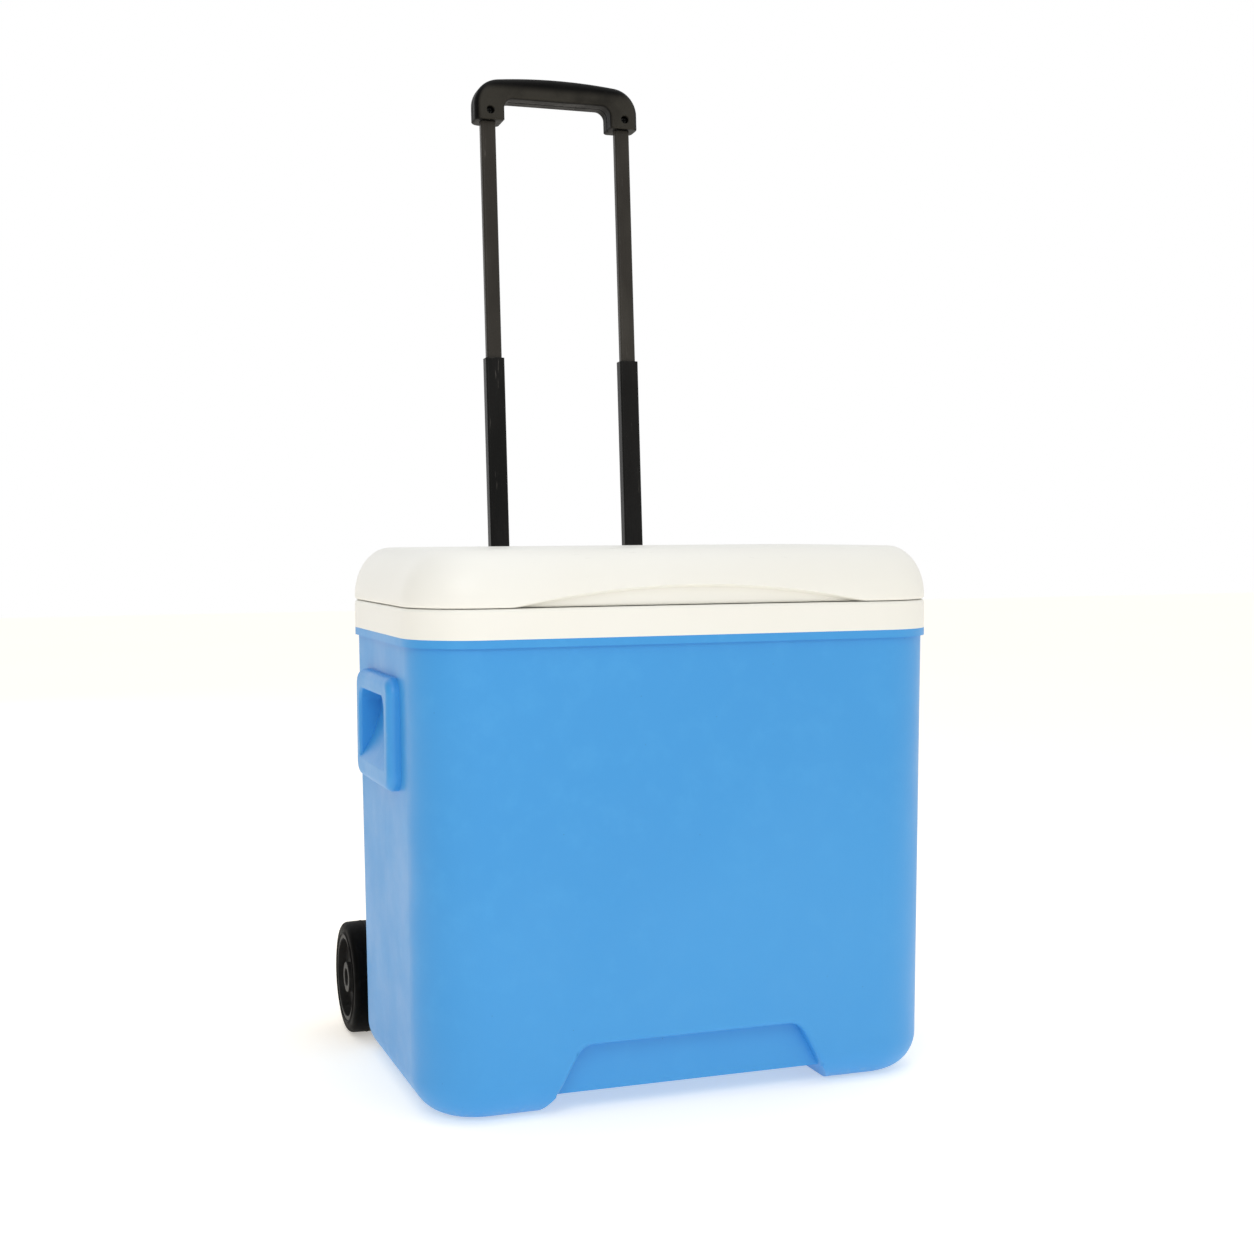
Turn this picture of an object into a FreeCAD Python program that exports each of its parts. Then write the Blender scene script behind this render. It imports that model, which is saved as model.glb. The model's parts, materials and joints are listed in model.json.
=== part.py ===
import FreeCAD, Part
import math
import os
from FreeCAD import Vector

# Hard-sided ice chest on two wheels with a two-stage pull-out handle.
# X runs to the right, Y to the back, Z up; the ground is Z = 0 and the chest
# is modelled about its own centre, then moved so that the origin lies under
# the middle of the whole object's box. All sizes are in millimetres.

# ---- chest ----
CHEST_WIDTH = 460.0            # over the rim
CHEST_DEPTH = 288.0            # over the rim
SHELL_TOP = 385.0              # top of the blue outer shell
RIM_BAND = 6.5                 # height of the proud band under the collar
RIM_STEP = 3.0                 # how far that band stands out
FRONT_CORNER = 57.0
REAR_CORNER = 50.0
SIDE_DRAFT = 0.008             # slope of each wall, mm per mm of height
FRONT_DRAFT = 0.010
REAR_DRAFT = 0.020
BOTTOM_ROUND = 32.0
SHELL_WALL = 2.4

# ---- recess under the front edge and channel under the floor ----
KICK_TOP = 56.5
KICK_TOP_HALF = 95.0
KICK_FLARE_HALF = 118.0
KICK_DEPTH = 20.0
KICK_CORNER = 16.0
KICK_EDGE = 5.0                # rounding where it opens in the front wall
CHANNEL_HEIGHT = 16.0
CHANNEL_FLARE = 12.0
FOOT_LENGTH = 104.0            # front feet, from the front wall back
FOOT_DROP = 4.0                # how far the feet stand below the floor

# ---- hand grips moulded in the side walls ----
GRIP_HALF_LENGTH = 66.0
GRIP_LOW = 258.0
GRIP_HIGH = 351.0
GRIP_PROUD_X = 237.0
GRIP_CORNER = 14.0
GRIP_EDGE = 7.0
SCOOP_HALF_LENGTH = 50.0
SCOOP_TOP = 335.0
SCOOP_LOW = 271.0
SCOOP_WALL_LOW = 320.0
SCOOP_DEEP_X = 217.6
SCOOP_CORNER = 12.0
SCOOP_EDGE = 3.0
SCOOP_RUN_OUT = 10.0           # how far the swept face is drawn past the pad
SCOOP_BOW_OUT = 0.42           # middle of the sweep, as a share of the scoop's depth
SCOOP_BOW_DOWN = 0.55          # and of the height it sweeps through
SCOOP_TIP_DROP = 0.25          # drop of the sweep's tip, as a share of its reach

# ---- inner liner ----
COLLAR_HEIGHT = 24.0
COLLAR_EDGE = 2.5
LINER_WALL = 2.4
TUB_MOUTH_HALF_X = 193.0
TUB_MOUTH_HALF_Y = 107.0
TUB_MOUTH_EDGE = 2.0
TUB_FLOOR = 52.0
TUB_DRAFT = 0.025
TUB_CORNER = 40.0
TUB_FLOOR_ROUND = 22.0

# ---- lid ----
LID_GAP = 0.6
LID_HEIGHT = 46.4
LID_SHOULDER = 32.0            # how far the top rounding reaches in
LID_SHOULDER_DROP = 43.0       # how far the top rounding reaches down
LID_SKIM = 0.01                # taken off the crown to make it a true plane
LID_LOWER_EDGE = 2.2
LID_WALL = 2.4
ARCH_HALF = 157.5
ARCH_RISE = 17.0
ARCH_DEPTH = 6.0
ARCH_RUN_OUT = 3.0             # how far the arch tool is drawn below the lid
PANEL_THICK = 2.5
PLUG_DROP = 11.0
PLUG_CLEARANCE = 2.5
PLUG_EDGE = 6.0

# ---- lid hinges ----
HINGE_X = 150.0
HINGE_Y_INSET = 4.0            # axis in from the rear face
HINGE_RISE = 16.0              # axis above the collar
HINGE_PIN_R = 2.5
HINGE_RUN_FIT = 0.08
KNUCKLE_R = 6.5
KNUCKLE_HALF = 19.5
NOTCH_HALF = 20.0
NOTCH_REACH = 8.0              # notch wall from the axis
SADDLE_HALF = 26.0
SADDLE_WALL = 4.0
HINGE_PLATE = 4.0
HINGE_PLATE_LOW = 386.0
STEM_HALF = 4.0
HINGE_FOOT_THICK = 3.5

# ---- wheels and axle ----
AXLE_Y_FROM_REAR = 28.0        # axle behind the rim's rear face
WHEEL_R = 52.0
WHEEL_OUT_X = 231.0
WHEEL_WIDTH = 36.0
RIM_R = 40.0
TYRE_SHOULDER = 6.0
HUB_BOSS_R = 14.0
HUB_BOSS_SHORT = 2.0           # boss end inside the outer face
HUB_WEB = 5.0
HUB_WEB_INSET = 9.0
HUB_RING = 4.0
HUB_RING_SHORT = 1.0           # ring's ends inside the tyre's side faces
HUB_COUNTERBORE_R = 8.0
HUB_COUNTERBORE = 11.0
SPOKE_COUNT = 5
WINDOW_R = 7.0
WINDOW_RING_R = 25.0
WHEEL_WELL_GAP = 6.0
AXLE_R = 4.0
AXLE_RUN_FIT = 0.09
AXLE_SHORT = 9.0               # axle end inside the wheel's outer face
PUSH_NUT_R = 7.0
PUSH_NUT_THICK = 3.0
PUSH_NUT_PLAY = 0.4
SPACER_R = 7.0
SPACER_PLAY = 0.5

# ---- pull-out handle ----
HANDLE_LEAN = 3.88             # degrees back from upright
TUBE_HALF_SPACING = 68.85
TUBE_FOOT_Y_FROM_REAR = 25.7   # tube line at the ground, behind the rim
STAGE_TRAVEL = 222.0
STAGE_OVERLAP = 60.0
UPPER_WIDTH = 14.7
UPPER_DEPTH = 9.7
TUBE_WALL = 1.2
GUIDE_WALL = 1.5
UPPER_STAGE_GAP = 0.8          # between the upper tubes and the lower tubes' bores
LOWER_STAGE_GAP = 0.7          # between the lower tubes and the guide tubes' bores
TUBE_CORNER = 2.5
GUIDE_FOOT = 66.0              # lower end of the guide tubes, along the lean
GUIDE_TOP = 404.0
LOWER_TOP = 638.5              # upper end of the lower stage, pulled out
GRIP_FOOT = 868.7              # lower end of the grip's posts, pulled out
RUN_FIT = 0.08                 # running fit per side between the stages
BUSH_LIP = 16.0
BUSH_COLLAR = 5.0
BUSH_COLLAR_OUT = 2.0
SLEEVE_CAP = 1.0
GLIDE_FLANGE = 3.0
GLIDE_SPIGOT = 10.0

# ---- grip ----
POST_WIDTH = 29.0
HANDLE_GRIP_DEPTH = 28.0
GRIP_BAR_TOP = 44.3            # above the posts' lower ends
GRIP_BAR_UNDER = 21.3
GRIP_CROWN = 3.0
GRIP_OUTER_R = 26.0
GRIP_INNER_R = 9.0
GRIP_ROUND = 9.0               # rounding of its outer edges
GRIP_INNER_ROUND = 4.0         # rounding of the edges round the palm gap
GRIP_WALL = 3.5
GRIP_SOCKET = 17.0
GRIP_SCREW_RISE = 9.0
GRIP_SCREW_SUNK = 7.5          # seat of the screw head below the post's front
GRIP_WELL_PLAY = 0.25          # well round the screw head

# ---- brackets on the rear wall ----
BRACKET_LOW = 336.0
BRACKET_HIGH = 374.0
BRACKET_HALF = 95.0
BRACKET_PLATE = 5.0
ARM_HALF = 20.0
CLAMP_BACK = 13.0              # clamp behind the tubes' centre plane
CLAMP_SCREW_OFFSET = 16.0
BRACKET_SCREW_INSET = 8.0      # screws in from the bracket's long edges
CARRIER_LOW = 34.0
CARRIER_HIGH = 100.0
CARRIER_HALF = 176.0
CARRIER_NOSE_R = 13.0
END_ARM_WIDTH = 16.0
END_ARM_HIGH = 80.0
CARRIER_SCREW_LOW = 16.0       # screws above the carrier's lower edge
CARRIER_SCREW_HIGH = 10.0      # screws below its upper edge

# ---- screws ----
SCREW_R = 1.75
SCREW_HEAD_R = 3.5
SCREW_HEAD = 2.5
SCREW_DOME = 1.0
SLOT_HALF_LENGTH = 2.0
SLOT_HALF_WIDTH = 0.5
SLOT_DEPTH = 1.2
BOSS_R = 4.5
BOSS_LENGTH = 13.0
WALL_SCREW = 17.0
CLAMP_SCREW = 30.0
HINGE_SCREW = 13.0
GRIP_SCREW = 16.0
HEAD_EDGE_GAP = 1.0            # plate left beside a screw head
LID_SCREW_RISE = 3.0           # plate left under a lid screw's head

# ---- worked out from the sizes above ----
LOWER_WIDTH = UPPER_WIDTH + 2 * (UPPER_STAGE_GAP + TUBE_WALL)
LOWER_DEPTH = UPPER_DEPTH + 2 * (UPPER_STAGE_GAP + TUBE_WALL)
GUIDE_WIDTH = LOWER_WIDTH + 2 * (LOWER_STAGE_GAP + GUIDE_WALL)
GUIDE_DEPTH = LOWER_DEPTH + 2 * (LOWER_STAGE_GAP + GUIDE_WALL)
HALF_WIDTH = CHEST_WIDTH / 2
HALF_DEPTH = CHEST_DEPTH / 2
BAND_Z = SHELL_TOP - RIM_BAND
COLLAR_TOP = SHELL_TOP + COLLAR_HEIGHT
LID_LOW = COLLAR_TOP + LID_GAP
LID_TOP = LID_LOW + LID_HEIGHT
HINGE_Y = HALF_DEPTH - HINGE_Y_INSET
HINGE_Z = COLLAR_TOP + HINGE_RISE
AXLE_Y = HALF_DEPTH + AXLE_Y_FROM_REAR
AXLE_Z = WHEEL_R
WHEEL_IN_X = WHEEL_OUT_X - WHEEL_WIDTH
TUBE_FOOT_Y = HALF_DEPTH + TUBE_FOOT_Y_FROM_REAR
LEAN = math.radians(HANDLE_LEAN)
UPPER_FOOT = LOWER_TOP - STAGE_OVERLAP
LOWER_FOOT = GUIDE_TOP - STAGE_OVERLAP - GLIDE_FLANGE
UPPER_TOP = GRIP_FOOT + GRIP_SOCKET
GRIP_TOP = GRIP_FOOT + GRIP_BAR_TOP
GRIP_HALF_WIDTH = TUBE_HALF_SPACING + POST_WIDTH / 2
REAR_REACH = (TUBE_FOOT_Y + (GRIP_TOP - GRIP_ROUND) * math.sin(LEAN)
              + (HANDLE_GRIP_DEPTH / 2 - GRIP_ROUND) * math.cos(LEAN) + GRIP_ROUND)
FRAME_SHIFT = (REAR_REACH - HALF_DEPTH) / 2
EPS = 1.0                      # how far cutting tools run past a face


# ---- small helpers ----
def rear_wall_y(z):
    """Y of the shell's rear wall at height z."""
    return HALF_DEPTH - RIM_STEP - REAR_DRAFT * (BAND_Z - z)


def tube_y(z):
    """Y of the handle tubes' centre plane at height z."""
    return TUBE_FOOT_Y + math.tan(LEAN) * z


def box(x0, x1, y0, y1, z0, z1):
    return Part.makeBox(x1 - x0, y1 - y0, z1 - z0, Vector(x0, y0, z0))


def rod(radius, start, end):
    """Round rod from one point to another."""
    run = end - start
    return Part.makeCylinder(radius, run.Length, start, run)


def outline(half_x, front, back, front_r, back_r, z):
    """Closed rounded rectangle in a level plane."""
    corners = [
        (half_x - back_r, back - back_r, back_r, 0),
        (-half_x + back_r, back - back_r, back_r, 90),
        (-half_x + front_r, front + front_r, front_r, 180),
        (half_x - front_r, front + front_r, front_r, 270),
    ]
    arcs = []
    for cx, cy, radius, start in corners:
        points = []
        for turn in (0, 45, 90):
            angle = math.radians(start + turn)
            points.append(Vector(cx + radius * math.cos(angle), cy + radius * math.sin(angle), z))
        arcs.append(points)
    edges = []
    for index, points in enumerate(arcs):
        edges.append(Part.Arc(*points).toShape())
        following = arcs[(index + 1) % len(arcs)][0]
        edges.append(Part.LineSegment(points[2], following).toShape())
    return Part.Wire(edges)


def rounded_block(half_x, front, back, front_r, back_r, z0, z1):
    face = Part.Face(outline(half_x, front, back, front_r, back_r, z0))
    return face.extrude(Vector(0, 0, z1 - z0))


def rim_block(inset, z0, z1):
    """Upright block with the rim's outline, taken in by inset."""
    return rounded_block(HALF_WIDTH - inset, inset - HALF_DEPTH, HALF_DEPTH - inset,
                         FRONT_CORNER - inset, REAR_CORNER - inset, z0, z1)


def polygon_x(points, x0, x1):
    """Prism along X from points (y, z)."""
    corners = [Vector(x0, y, z) for y, z in points]
    face = Part.Face(Part.makePolygon(corners + corners[:1]))
    return face.extrude(Vector(x1 - x0, 0, 0))


def polygon_y(points, y0, y1):
    """Prism along Y from points (x, z)."""
    corners = [Vector(x, y0, z) for x, z in points]
    face = Part.Face(Part.makePolygon(corners + corners[:1]))
    return face.extrude(Vector(0, y1 - y0, 0))


def flat_edges(shape, z):
    """Edges that lie wholly at height z."""
    return [edge for edge in shape.Edges
            if abs(edge.BoundBox.ZMax - z) < 0.01 and abs(edge.BoundBox.ZMin - z) < 0.01]


def edges_along(shape, direction):
    """Straight edges that run along a direction."""
    found = []
    for edge in shape.Edges:
        if isinstance(edge.Curve, Part.Line) and abs(edge.Curve.Direction.dot(direction)) > 0.999:
            found.append(edge)
    return found


def mirrored(shape):
    return shape.mirror(Vector(0, 0, 0), Vector(1, 0, 0))


def both_sides(shape):
    return [shape, mirrored(shape)]


def cut_all(shape, tools):
    return shape.cut(tools) if tools else shape


def leaned(shape):
    """Take a shape built upright about the tube line and lean it back."""
    placed = shape.copy()
    placed.rotate(Vector(0, 0, 0), Vector(1, 0, 0), -HANDLE_LEAN)
    placed.translate(Vector(0, TUBE_FOOT_Y, 0))
    return placed


def screw(seat, along, length):
    """Pan-head screw: seat is where the head meets the work, along points in."""
    crown = seat - along * SCREW_HEAD
    shank = rod(SCREW_R, seat, seat + along * length)
    head = rod(SCREW_HEAD_R, crown, seat)
    dome = head.makeFillet(SCREW_DOME, [outer_edge(head, crown)])
    return shank.fuse(dome).removeSplitter()


def cross_slot(seat, along):
    """Two crossed slots in a screw's head, as cutting tools."""
    across = Vector(1, 0, 0)
    upright = along.cross(across)
    crown = seat - along * (SCREW_HEAD + EPS)
    slots = []
    for run, side in ((across, upright), (upright, across)):
        corner = crown - run * SLOT_HALF_LENGTH - side * SLOT_HALF_WIDTH
        length = run * 2 * SLOT_HALF_LENGTH
        width = side * 2 * SLOT_HALF_WIDTH
        profile = Part.makePolygon([corner, corner + length, corner + length + width, corner + width, corner])
        slots.append(Part.Face(profile).extrude(along * (EPS + SLOT_DEPTH)))
    return slots


def slotted(screws, seats, along):
    """The screws as finished pieces, with a cross slot sunk in each head."""
    return [fastener.cut(cross_slot(seat, along)) for fastener, seat in zip(screws, seats)]


def outer_edge(shape, centre):
    """The round edge about a given centre."""
    for edge in shape.Edges:
        if isinstance(edge.Curve, Part.Circle) and (edge.Curve.Center - centre).Length < 0.01:
            return edge
    raise ValueError("no round edge there")


# ---- screw places ----
FORWARD = Vector(0, -1, 0)
BACKWARD = Vector(0, 1, 0)


def bracket_screw_seats():
    seats = []
    for z in (BRACKET_LOW + BRACKET_SCREW_INSET, BRACKET_HIGH - BRACKET_SCREW_INSET):
        for x in (-TUBE_HALF_SPACING / 2, TUBE_HALF_SPACING / 2):
            seats.append(Vector(x, rear_wall_y(z) + BRACKET_PLATE, z))
    return seats


def carrier_screw_seats():
    seats = []
    middle = (CARRIER_LOW + CARRIER_HIGH) / 2
    side_x = (TUBE_HALF_SPACING + ARM_HALF + CARRIER_HALF - END_ARM_WIDTH) / 2
    for z in (CARRIER_LOW + CARRIER_SCREW_LOW, CARRIER_HIGH - CARRIER_SCREW_HIGH):
        for x in (-TUBE_HALF_SPACING / 2, TUBE_HALF_SPACING / 2):
            seats.append(Vector(x, rear_wall_y(z) + BRACKET_PLATE, z))
    for x in (-side_x, side_x):
        seats.append(Vector(x, rear_wall_y(middle) + BRACKET_PLATE, middle))
    return seats


def hinge_base_screw_seats():
    height = (HINGE_PLATE_LOW + COLLAR_TOP) / 2
    reach = KNUCKLE_HALF - SCREW_HEAD_R - HEAD_EDGE_GAP
    return [Vector(side * HINGE_X + step, HALF_DEPTH + HINGE_PLATE, height)
            for side in (-1, 1) for step in (-reach, reach)]


def lid_hinge_screw_seats():
    depth = HINGE_Y - NOTCH_REACH - SCREW_HEAD
    reach = NOTCH_HALF / 2
    height = LID_LOW + SCREW_HEAD_R + LID_SCREW_RISE
    return [Vector(side * HINGE_X + step, depth, height)
            for side in (-1, 1) for step in (-reach, reach)]


def screw_group(seats, length):
    """Plain screws that point forward, one per seat."""
    return [screw(seat, FORWARD, length) for seat in seats]


# ---- outer shell ----
def wall_form(inset, z0, z1):
    """Drafted body of the chest below the rim band, taken in by inset."""
    wires = []
    for z in (z0, z1):
        fall = BAND_Z - z
        wires.append(outline(
            HALF_WIDTH - RIM_STEP - SIDE_DRAFT * fall - inset,
            RIM_STEP - HALF_DEPTH + FRONT_DRAFT * fall + inset,
            rear_wall_y(z) - inset,
            FRONT_CORNER - RIM_STEP - inset, REAR_CORNER - RIM_STEP - inset, z))
    form = Part.makeLoft(wires, True, True)
    return form.makeFillet(BOTTOM_ROUND - inset, flat_edges(form, z0))


def grip_block():
    """Raised pad in the right side wall round the hand scoop."""
    pad = box(SCOOP_DEEP_X, GRIP_PROUD_X, -GRIP_HALF_LENGTH, GRIP_HALF_LENGTH, GRIP_LOW, GRIP_HIGH)
    pad = pad.makeFillet(GRIP_CORNER, edges_along(pad, Vector(1, 0, 0)))
    rim = [edge for edge in pad.Edges
           if edge.BoundBox.XMin > GRIP_PROUD_X - 0.01]
    return pad.makeFillet(GRIP_EDGE, rim)


def scoop(grow):
    """Hand scoop in the right side wall: deep under its top edge, swept out below."""
    out_x = GRIP_PROUD_X + SCOOP_RUN_OUT
    deep = SCOOP_DEEP_X - grow
    span = SCOOP_WALL_LOW - SCOOP_LOW + grow
    rise = out_x - deep
    top = SCOOP_TOP + grow
    knee = SCOOP_WALL_LOW
    tip = Vector(out_x, 0, SCOOP_LOW - grow - SCOOP_TIP_DROP * rise)
    middle = Vector(deep + SCOOP_BOW_OUT * (GRIP_PROUD_X - SCOOP_DEEP_X), 0,
                    knee - SCOOP_BOW_DOWN * span)
    edges = [
        Part.LineSegment(Vector(out_x, 0, top), Vector(deep, 0, top)).toShape(),
        Part.LineSegment(Vector(deep, 0, top), Vector(deep, 0, knee)).toShape(),
        Part.Arc(Vector(deep, 0, knee), middle, tip).toShape(),
        Part.LineSegment(tip, Vector(out_x, 0, top)).toShape(),
    ]
    face = Part.Face(Part.Wire(edges))
    length = SCOOP_HALF_LENGTH + grow
    face.translate(Vector(0, -length, 0))
    sweep = face.extrude(Vector(0, 2 * length, 0))
    frame = box(deep - EPS, out_x + EPS, -length, length, SCOOP_LOW - grow - rise, top)
    frame = frame.makeFillet(SCOOP_CORNER, edges_along(frame, Vector(1, 0, 0)))
    return sweep.common(frame)


def kick_recess(grow):
    """Recess under the middle of the front wall, flared towards the floor."""
    top = KICK_TOP + grow
    points = [
        (-KICK_TOP_HALF - grow, top),
        (KICK_TOP_HALF + grow, top),
        (KICK_FLARE_HALF + grow, CHANNEL_HEIGHT + grow - EPS),
        (KICK_FLARE_HALF + grow, -BOTTOM_ROUND),
        (-KICK_FLARE_HALF - grow, -BOTTOM_ROUND),
        (-KICK_FLARE_HALF - grow, CHANNEL_HEIGHT + grow - EPS),
    ]
    tool = polygon_y(points, -HALF_DEPTH - EPS, -HALF_DEPTH + KICK_DEPTH + grow)
    upper = [edge for edge in edges_along(tool, Vector(0, 1, 0)) if edge.BoundBox.ZMin > top - 1]
    return tool.makeFillet(KICK_CORNER, upper)


def floor_channel(grow):
    """Raised stretch of floor between the left and right runners."""
    points = [
        (-KICK_FLARE_HALF - grow, CHANNEL_HEIGHT + grow),
        (KICK_FLARE_HALF + grow, CHANNEL_HEIGHT + grow),
        (KICK_FLARE_HALF + grow + CHANNEL_FLARE, -EPS),
        (-KICK_FLARE_HALF - grow - CHANNEL_FLARE, -EPS),
    ]
    return polygon_y(points, -HALF_DEPTH - EPS, HALF_DEPTH + EPS)


def heel_relief(grow):
    """Lifts the runners behind the front feet clear of the ground."""
    return box(-HALF_WIDTH, HALF_WIDTH, -HALF_DEPTH + FOOT_LENGTH - grow, HALF_DEPTH,
               -EPS, FOOT_DROP + grow)


def wheel_well(grow):
    """Room for the right wheel in the lower rear corner."""
    inner = WHEEL_IN_X - WHEEL_WELL_GAP - grow
    start = Vector(inner, AXLE_Y, AXLE_Z)
    return rod(WHEEL_R + WHEEL_WELL_GAP + grow, start, Vector(HALF_WIDTH + EPS, AXLE_Y, AXLE_Z))


def shell_tools(grow):
    tools = [kick_recess(grow), floor_channel(grow), heel_relief(grow)]
    tools += both_sides(scoop(grow)) + both_sides(wheel_well(grow))
    return tools


def shell_bosses():
    """Blind screw bosses behind the rear wall."""
    bosses = []
    for seat in bracket_screw_seats() + carrier_screw_seats():
        wall = Vector(seat.x, rear_wall_y(seat.z) - SHELL_WALL / 2, seat.z)
        bosses.append(rod(BOSS_R, wall, wall + FORWARD * BOSS_LENGTH))
    return bosses


def shell_cavity():
    """Space inside the outer shell, up to its top edge."""
    inside = wall_form(SHELL_WALL, SHELL_WALL, SHELL_TOP)
    return cut_all(inside, shell_tools(SHELL_WALL) + shell_bosses())


def mouth_edges(form):
    """Edges where the kick recess opens in the front wall."""
    limit = KICK_DEPTH - HALF_DEPTH - EPS
    return [edge for edge in form.Edges
            if edge.BoundBox.YMax < limit and edge.BoundBox.ZMax < KICK_TOP + EPS
            and max(-edge.BoundBox.XMin, edge.BoundBox.XMax) < KICK_FLARE_HALF + EPS]


def scoop_edges(form):
    """Edges where the two scoops open in the outer faces of their pads."""
    found = []
    for edge in form.Edges:
        room = edge.BoundBox
        flat = room.XLength < 0.01 and abs(abs(room.XMin) - GRIP_PROUD_X) < 0.01
        reach = max(-room.YMin, room.YMax)
        if flat and reach < SCOOP_HALF_LENGTH + EPS and room.ZMax < SCOOP_TOP + EPS:
            found.append(edge)
    return found


def outer_shell(cavity, wall_screws):
    form = wall_form(0, 0, BAND_Z).cut(kick_recess(0))
    form = form.makeFillet(KICK_EDGE, mouth_edges(form))
    form = form.fuse([rim_block(0, BAND_Z, SHELL_TOP)] + both_sides(grip_block()))
    tools = [floor_channel(0), heel_relief(0)] + both_sides(scoop(0)) + both_sides(wheel_well(0))
    form = cut_all(form, tools)
    form = form.makeFillet(SCOOP_EDGE, scoop_edges(form))
    return cut_all(form, [cavity] + wall_screws)


# ---- inner liner ----
def tub(grow, top):
    """Tapered tub shape; grow is the liner's wall for its outside."""
    wires = []
    for z in (TUB_FLOOR - grow, top):
        inset = TUB_DRAFT * (COLLAR_TOP - z) - grow
        wires.append(outline(TUB_MOUTH_HALF_X - inset, inset - TUB_MOUTH_HALF_Y,
                             TUB_MOUTH_HALF_Y - inset, TUB_CORNER + grow, TUB_CORNER + grow, z))
    form = Part.makeLoft(wires, True, True)
    return form.makeFillet(TUB_FLOOR_ROUND + grow, flat_edges(form, TUB_FLOOR - grow))


def collar_bosses():
    bosses = []
    for seat in hinge_base_screw_seats():
        wall = Vector(seat.x, HALF_DEPTH - LINER_WALL / 2, seat.z)
        bosses.append(rod(BOSS_R, wall, wall + FORWARD * BOSS_LENGTH))
    return bosses


def collar_hollow():
    hollow = rim_block(LINER_WALL, SHELL_TOP, COLLAR_TOP - LINER_WALL)
    return cut_all(hollow, collar_bosses())


def inner_liner(base_screws):
    collar = rim_block(0, SHELL_TOP, COLLAR_TOP)
    collar = collar.makeFillet(COLLAR_EDGE, flat_edges(collar, COLLAR_TOP))
    body = collar.cut(collar_hollow()).fuse(tub(LINER_WALL, COLLAR_TOP))
    body = body.cut(tub(0, COLLAR_TOP + EPS))
    mouth = [edge for edge in flat_edges(body, COLLAR_TOP)
             if max(-edge.BoundBox.XMin, edge.BoundBox.XMax) < TUB_MOUTH_HALF_X + EPS]
    return cut_all(body.makeFillet(TUB_MOUTH_EDGE, mouth), base_screws)


def body_foam(cavity):
    filling = cavity.fuse(collar_hollow())
    return filling.cut(tub(LINER_WALL, COLLAR_TOP))


# ---- lid ----
def lid_form(inset):
    """Lid block with a tall rounded shoulder, taken in by inset and skimmed to a level top."""
    ratio = LID_SHOULDER_DROP / LID_SHOULDER
    height = (LID_HEIGHT + LID_SKIM - inset) / ratio
    block = rim_block(inset, 0, height)
    block = block.makeFillet(LID_SHOULDER - inset / ratio, flat_edges(block, height))
    if inset == 0:
        block = block.makeFillet(LID_LOWER_EDGE, flat_edges(block, 0))
    stretch = FreeCAD.Matrix()
    stretch.scale(1, 1, ratio)
    form = block.transformGeometry(stretch)
    form.translate(Vector(0, 0, LID_LOW))
    return form.common(rim_block(inset, LID_LOW, LID_TOP - inset))


def arch_recess(grow):
    """Finger recess under a long low arch in the lid's front face."""
    half = ARCH_HALF + grow
    rise = ARCH_RISE + grow
    low = LID_LOW - LID_GAP
    front = -HALF_DEPTH - EPS
    arc = Part.Arc(Vector(-half, front, low), Vector(0, front, low + rise), Vector(half, front, low))
    floor_line = Part.makePolygon([Vector(half, front, low), Vector(half, front, low - ARCH_RUN_OUT),
                                   Vector(-half, front, low - ARCH_RUN_OUT), Vector(-half, front, low)])
    face = Part.Face(Part.Wire([arc.toShape()] + floor_line.Edges))
    return face.extrude(Vector(0, EPS + ARCH_DEPTH + grow, 0))


def hinge_pocket(side, grow):
    """Room in the lid's lower rear edge for one hinge saddle."""
    return box(side * HINGE_X - SADDLE_HALF - grow, side * HINGE_X + SADDLE_HALF + grow,
               HINGE_Y - NOTCH_REACH - SADDLE_WALL - grow, HALF_DEPTH + EPS,
               LID_LOW - EPS, HINGE_Z + NOTCH_REACH + SADDLE_WALL + grow)


def lid_bosses():
    bosses = []
    for seat in lid_hinge_screw_seats():
        wall = Vector(seat.x, HINGE_Y - NOTCH_REACH - SADDLE_WALL - LID_WALL / 2, seat.z)
        bosses.append(rod(BOSS_R, wall, wall + FORWARD * BOSS_LENGTH))
    return bosses


def lid_cavity():
    """Space inside the lid's outer shell, down to its lower edge."""
    tools = [arch_recess(LID_WALL)] + [hinge_pocket(side, LID_WALL) for side in (-1, 1)]
    return cut_all(lid_form(LID_WALL), tools + lid_bosses())


def plug(inset, low, high):
    """Raised pan under the lid that drops into the tub's mouth."""
    edge = PLUG_CLEARANCE + inset
    block = rounded_block(TUB_MOUTH_HALF_X - edge, edge - TUB_MOUTH_HALF_Y,
                          TUB_MOUTH_HALF_Y - edge, TUB_CORNER - edge, TUB_CORNER - edge, low, high)
    return block.makeFillet(PLUG_EDGE - inset, flat_edges(block, low))


def lid_shell(cavity, lid_screws):
    tools = [arch_recess(0)] + [hinge_pocket(side, 0) for side in (-1, 1)]
    return cut_all(lid_form(0), tools + [cavity] + lid_screws)


def lid_panel(cavity):
    sheet = cavity.common(box(-HALF_WIDTH, HALF_WIDTH, -HALF_DEPTH, HALF_DEPTH,
                              LID_LOW, LID_LOW + PANEL_THICK))
    pan = plug(0, LID_LOW - PLUG_DROP, LID_LOW + PANEL_THICK)
    hollow = plug(PANEL_THICK, LID_LOW - PLUG_DROP + PANEL_THICK, LID_LOW + PANEL_THICK + EPS)
    return sheet.fuse(pan).cut(hollow)


def lid_foam(cavity):
    upper = cavity.common(box(-HALF_WIDTH, HALF_WIDTH, -HALF_DEPTH, HALF_DEPTH,
                              LID_LOW + PANEL_THICK, LID_TOP))
    return upper.fuse(plug(PANEL_THICK, LID_LOW - PLUG_DROP + PANEL_THICK, LID_LOW + PANEL_THICK))


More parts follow.
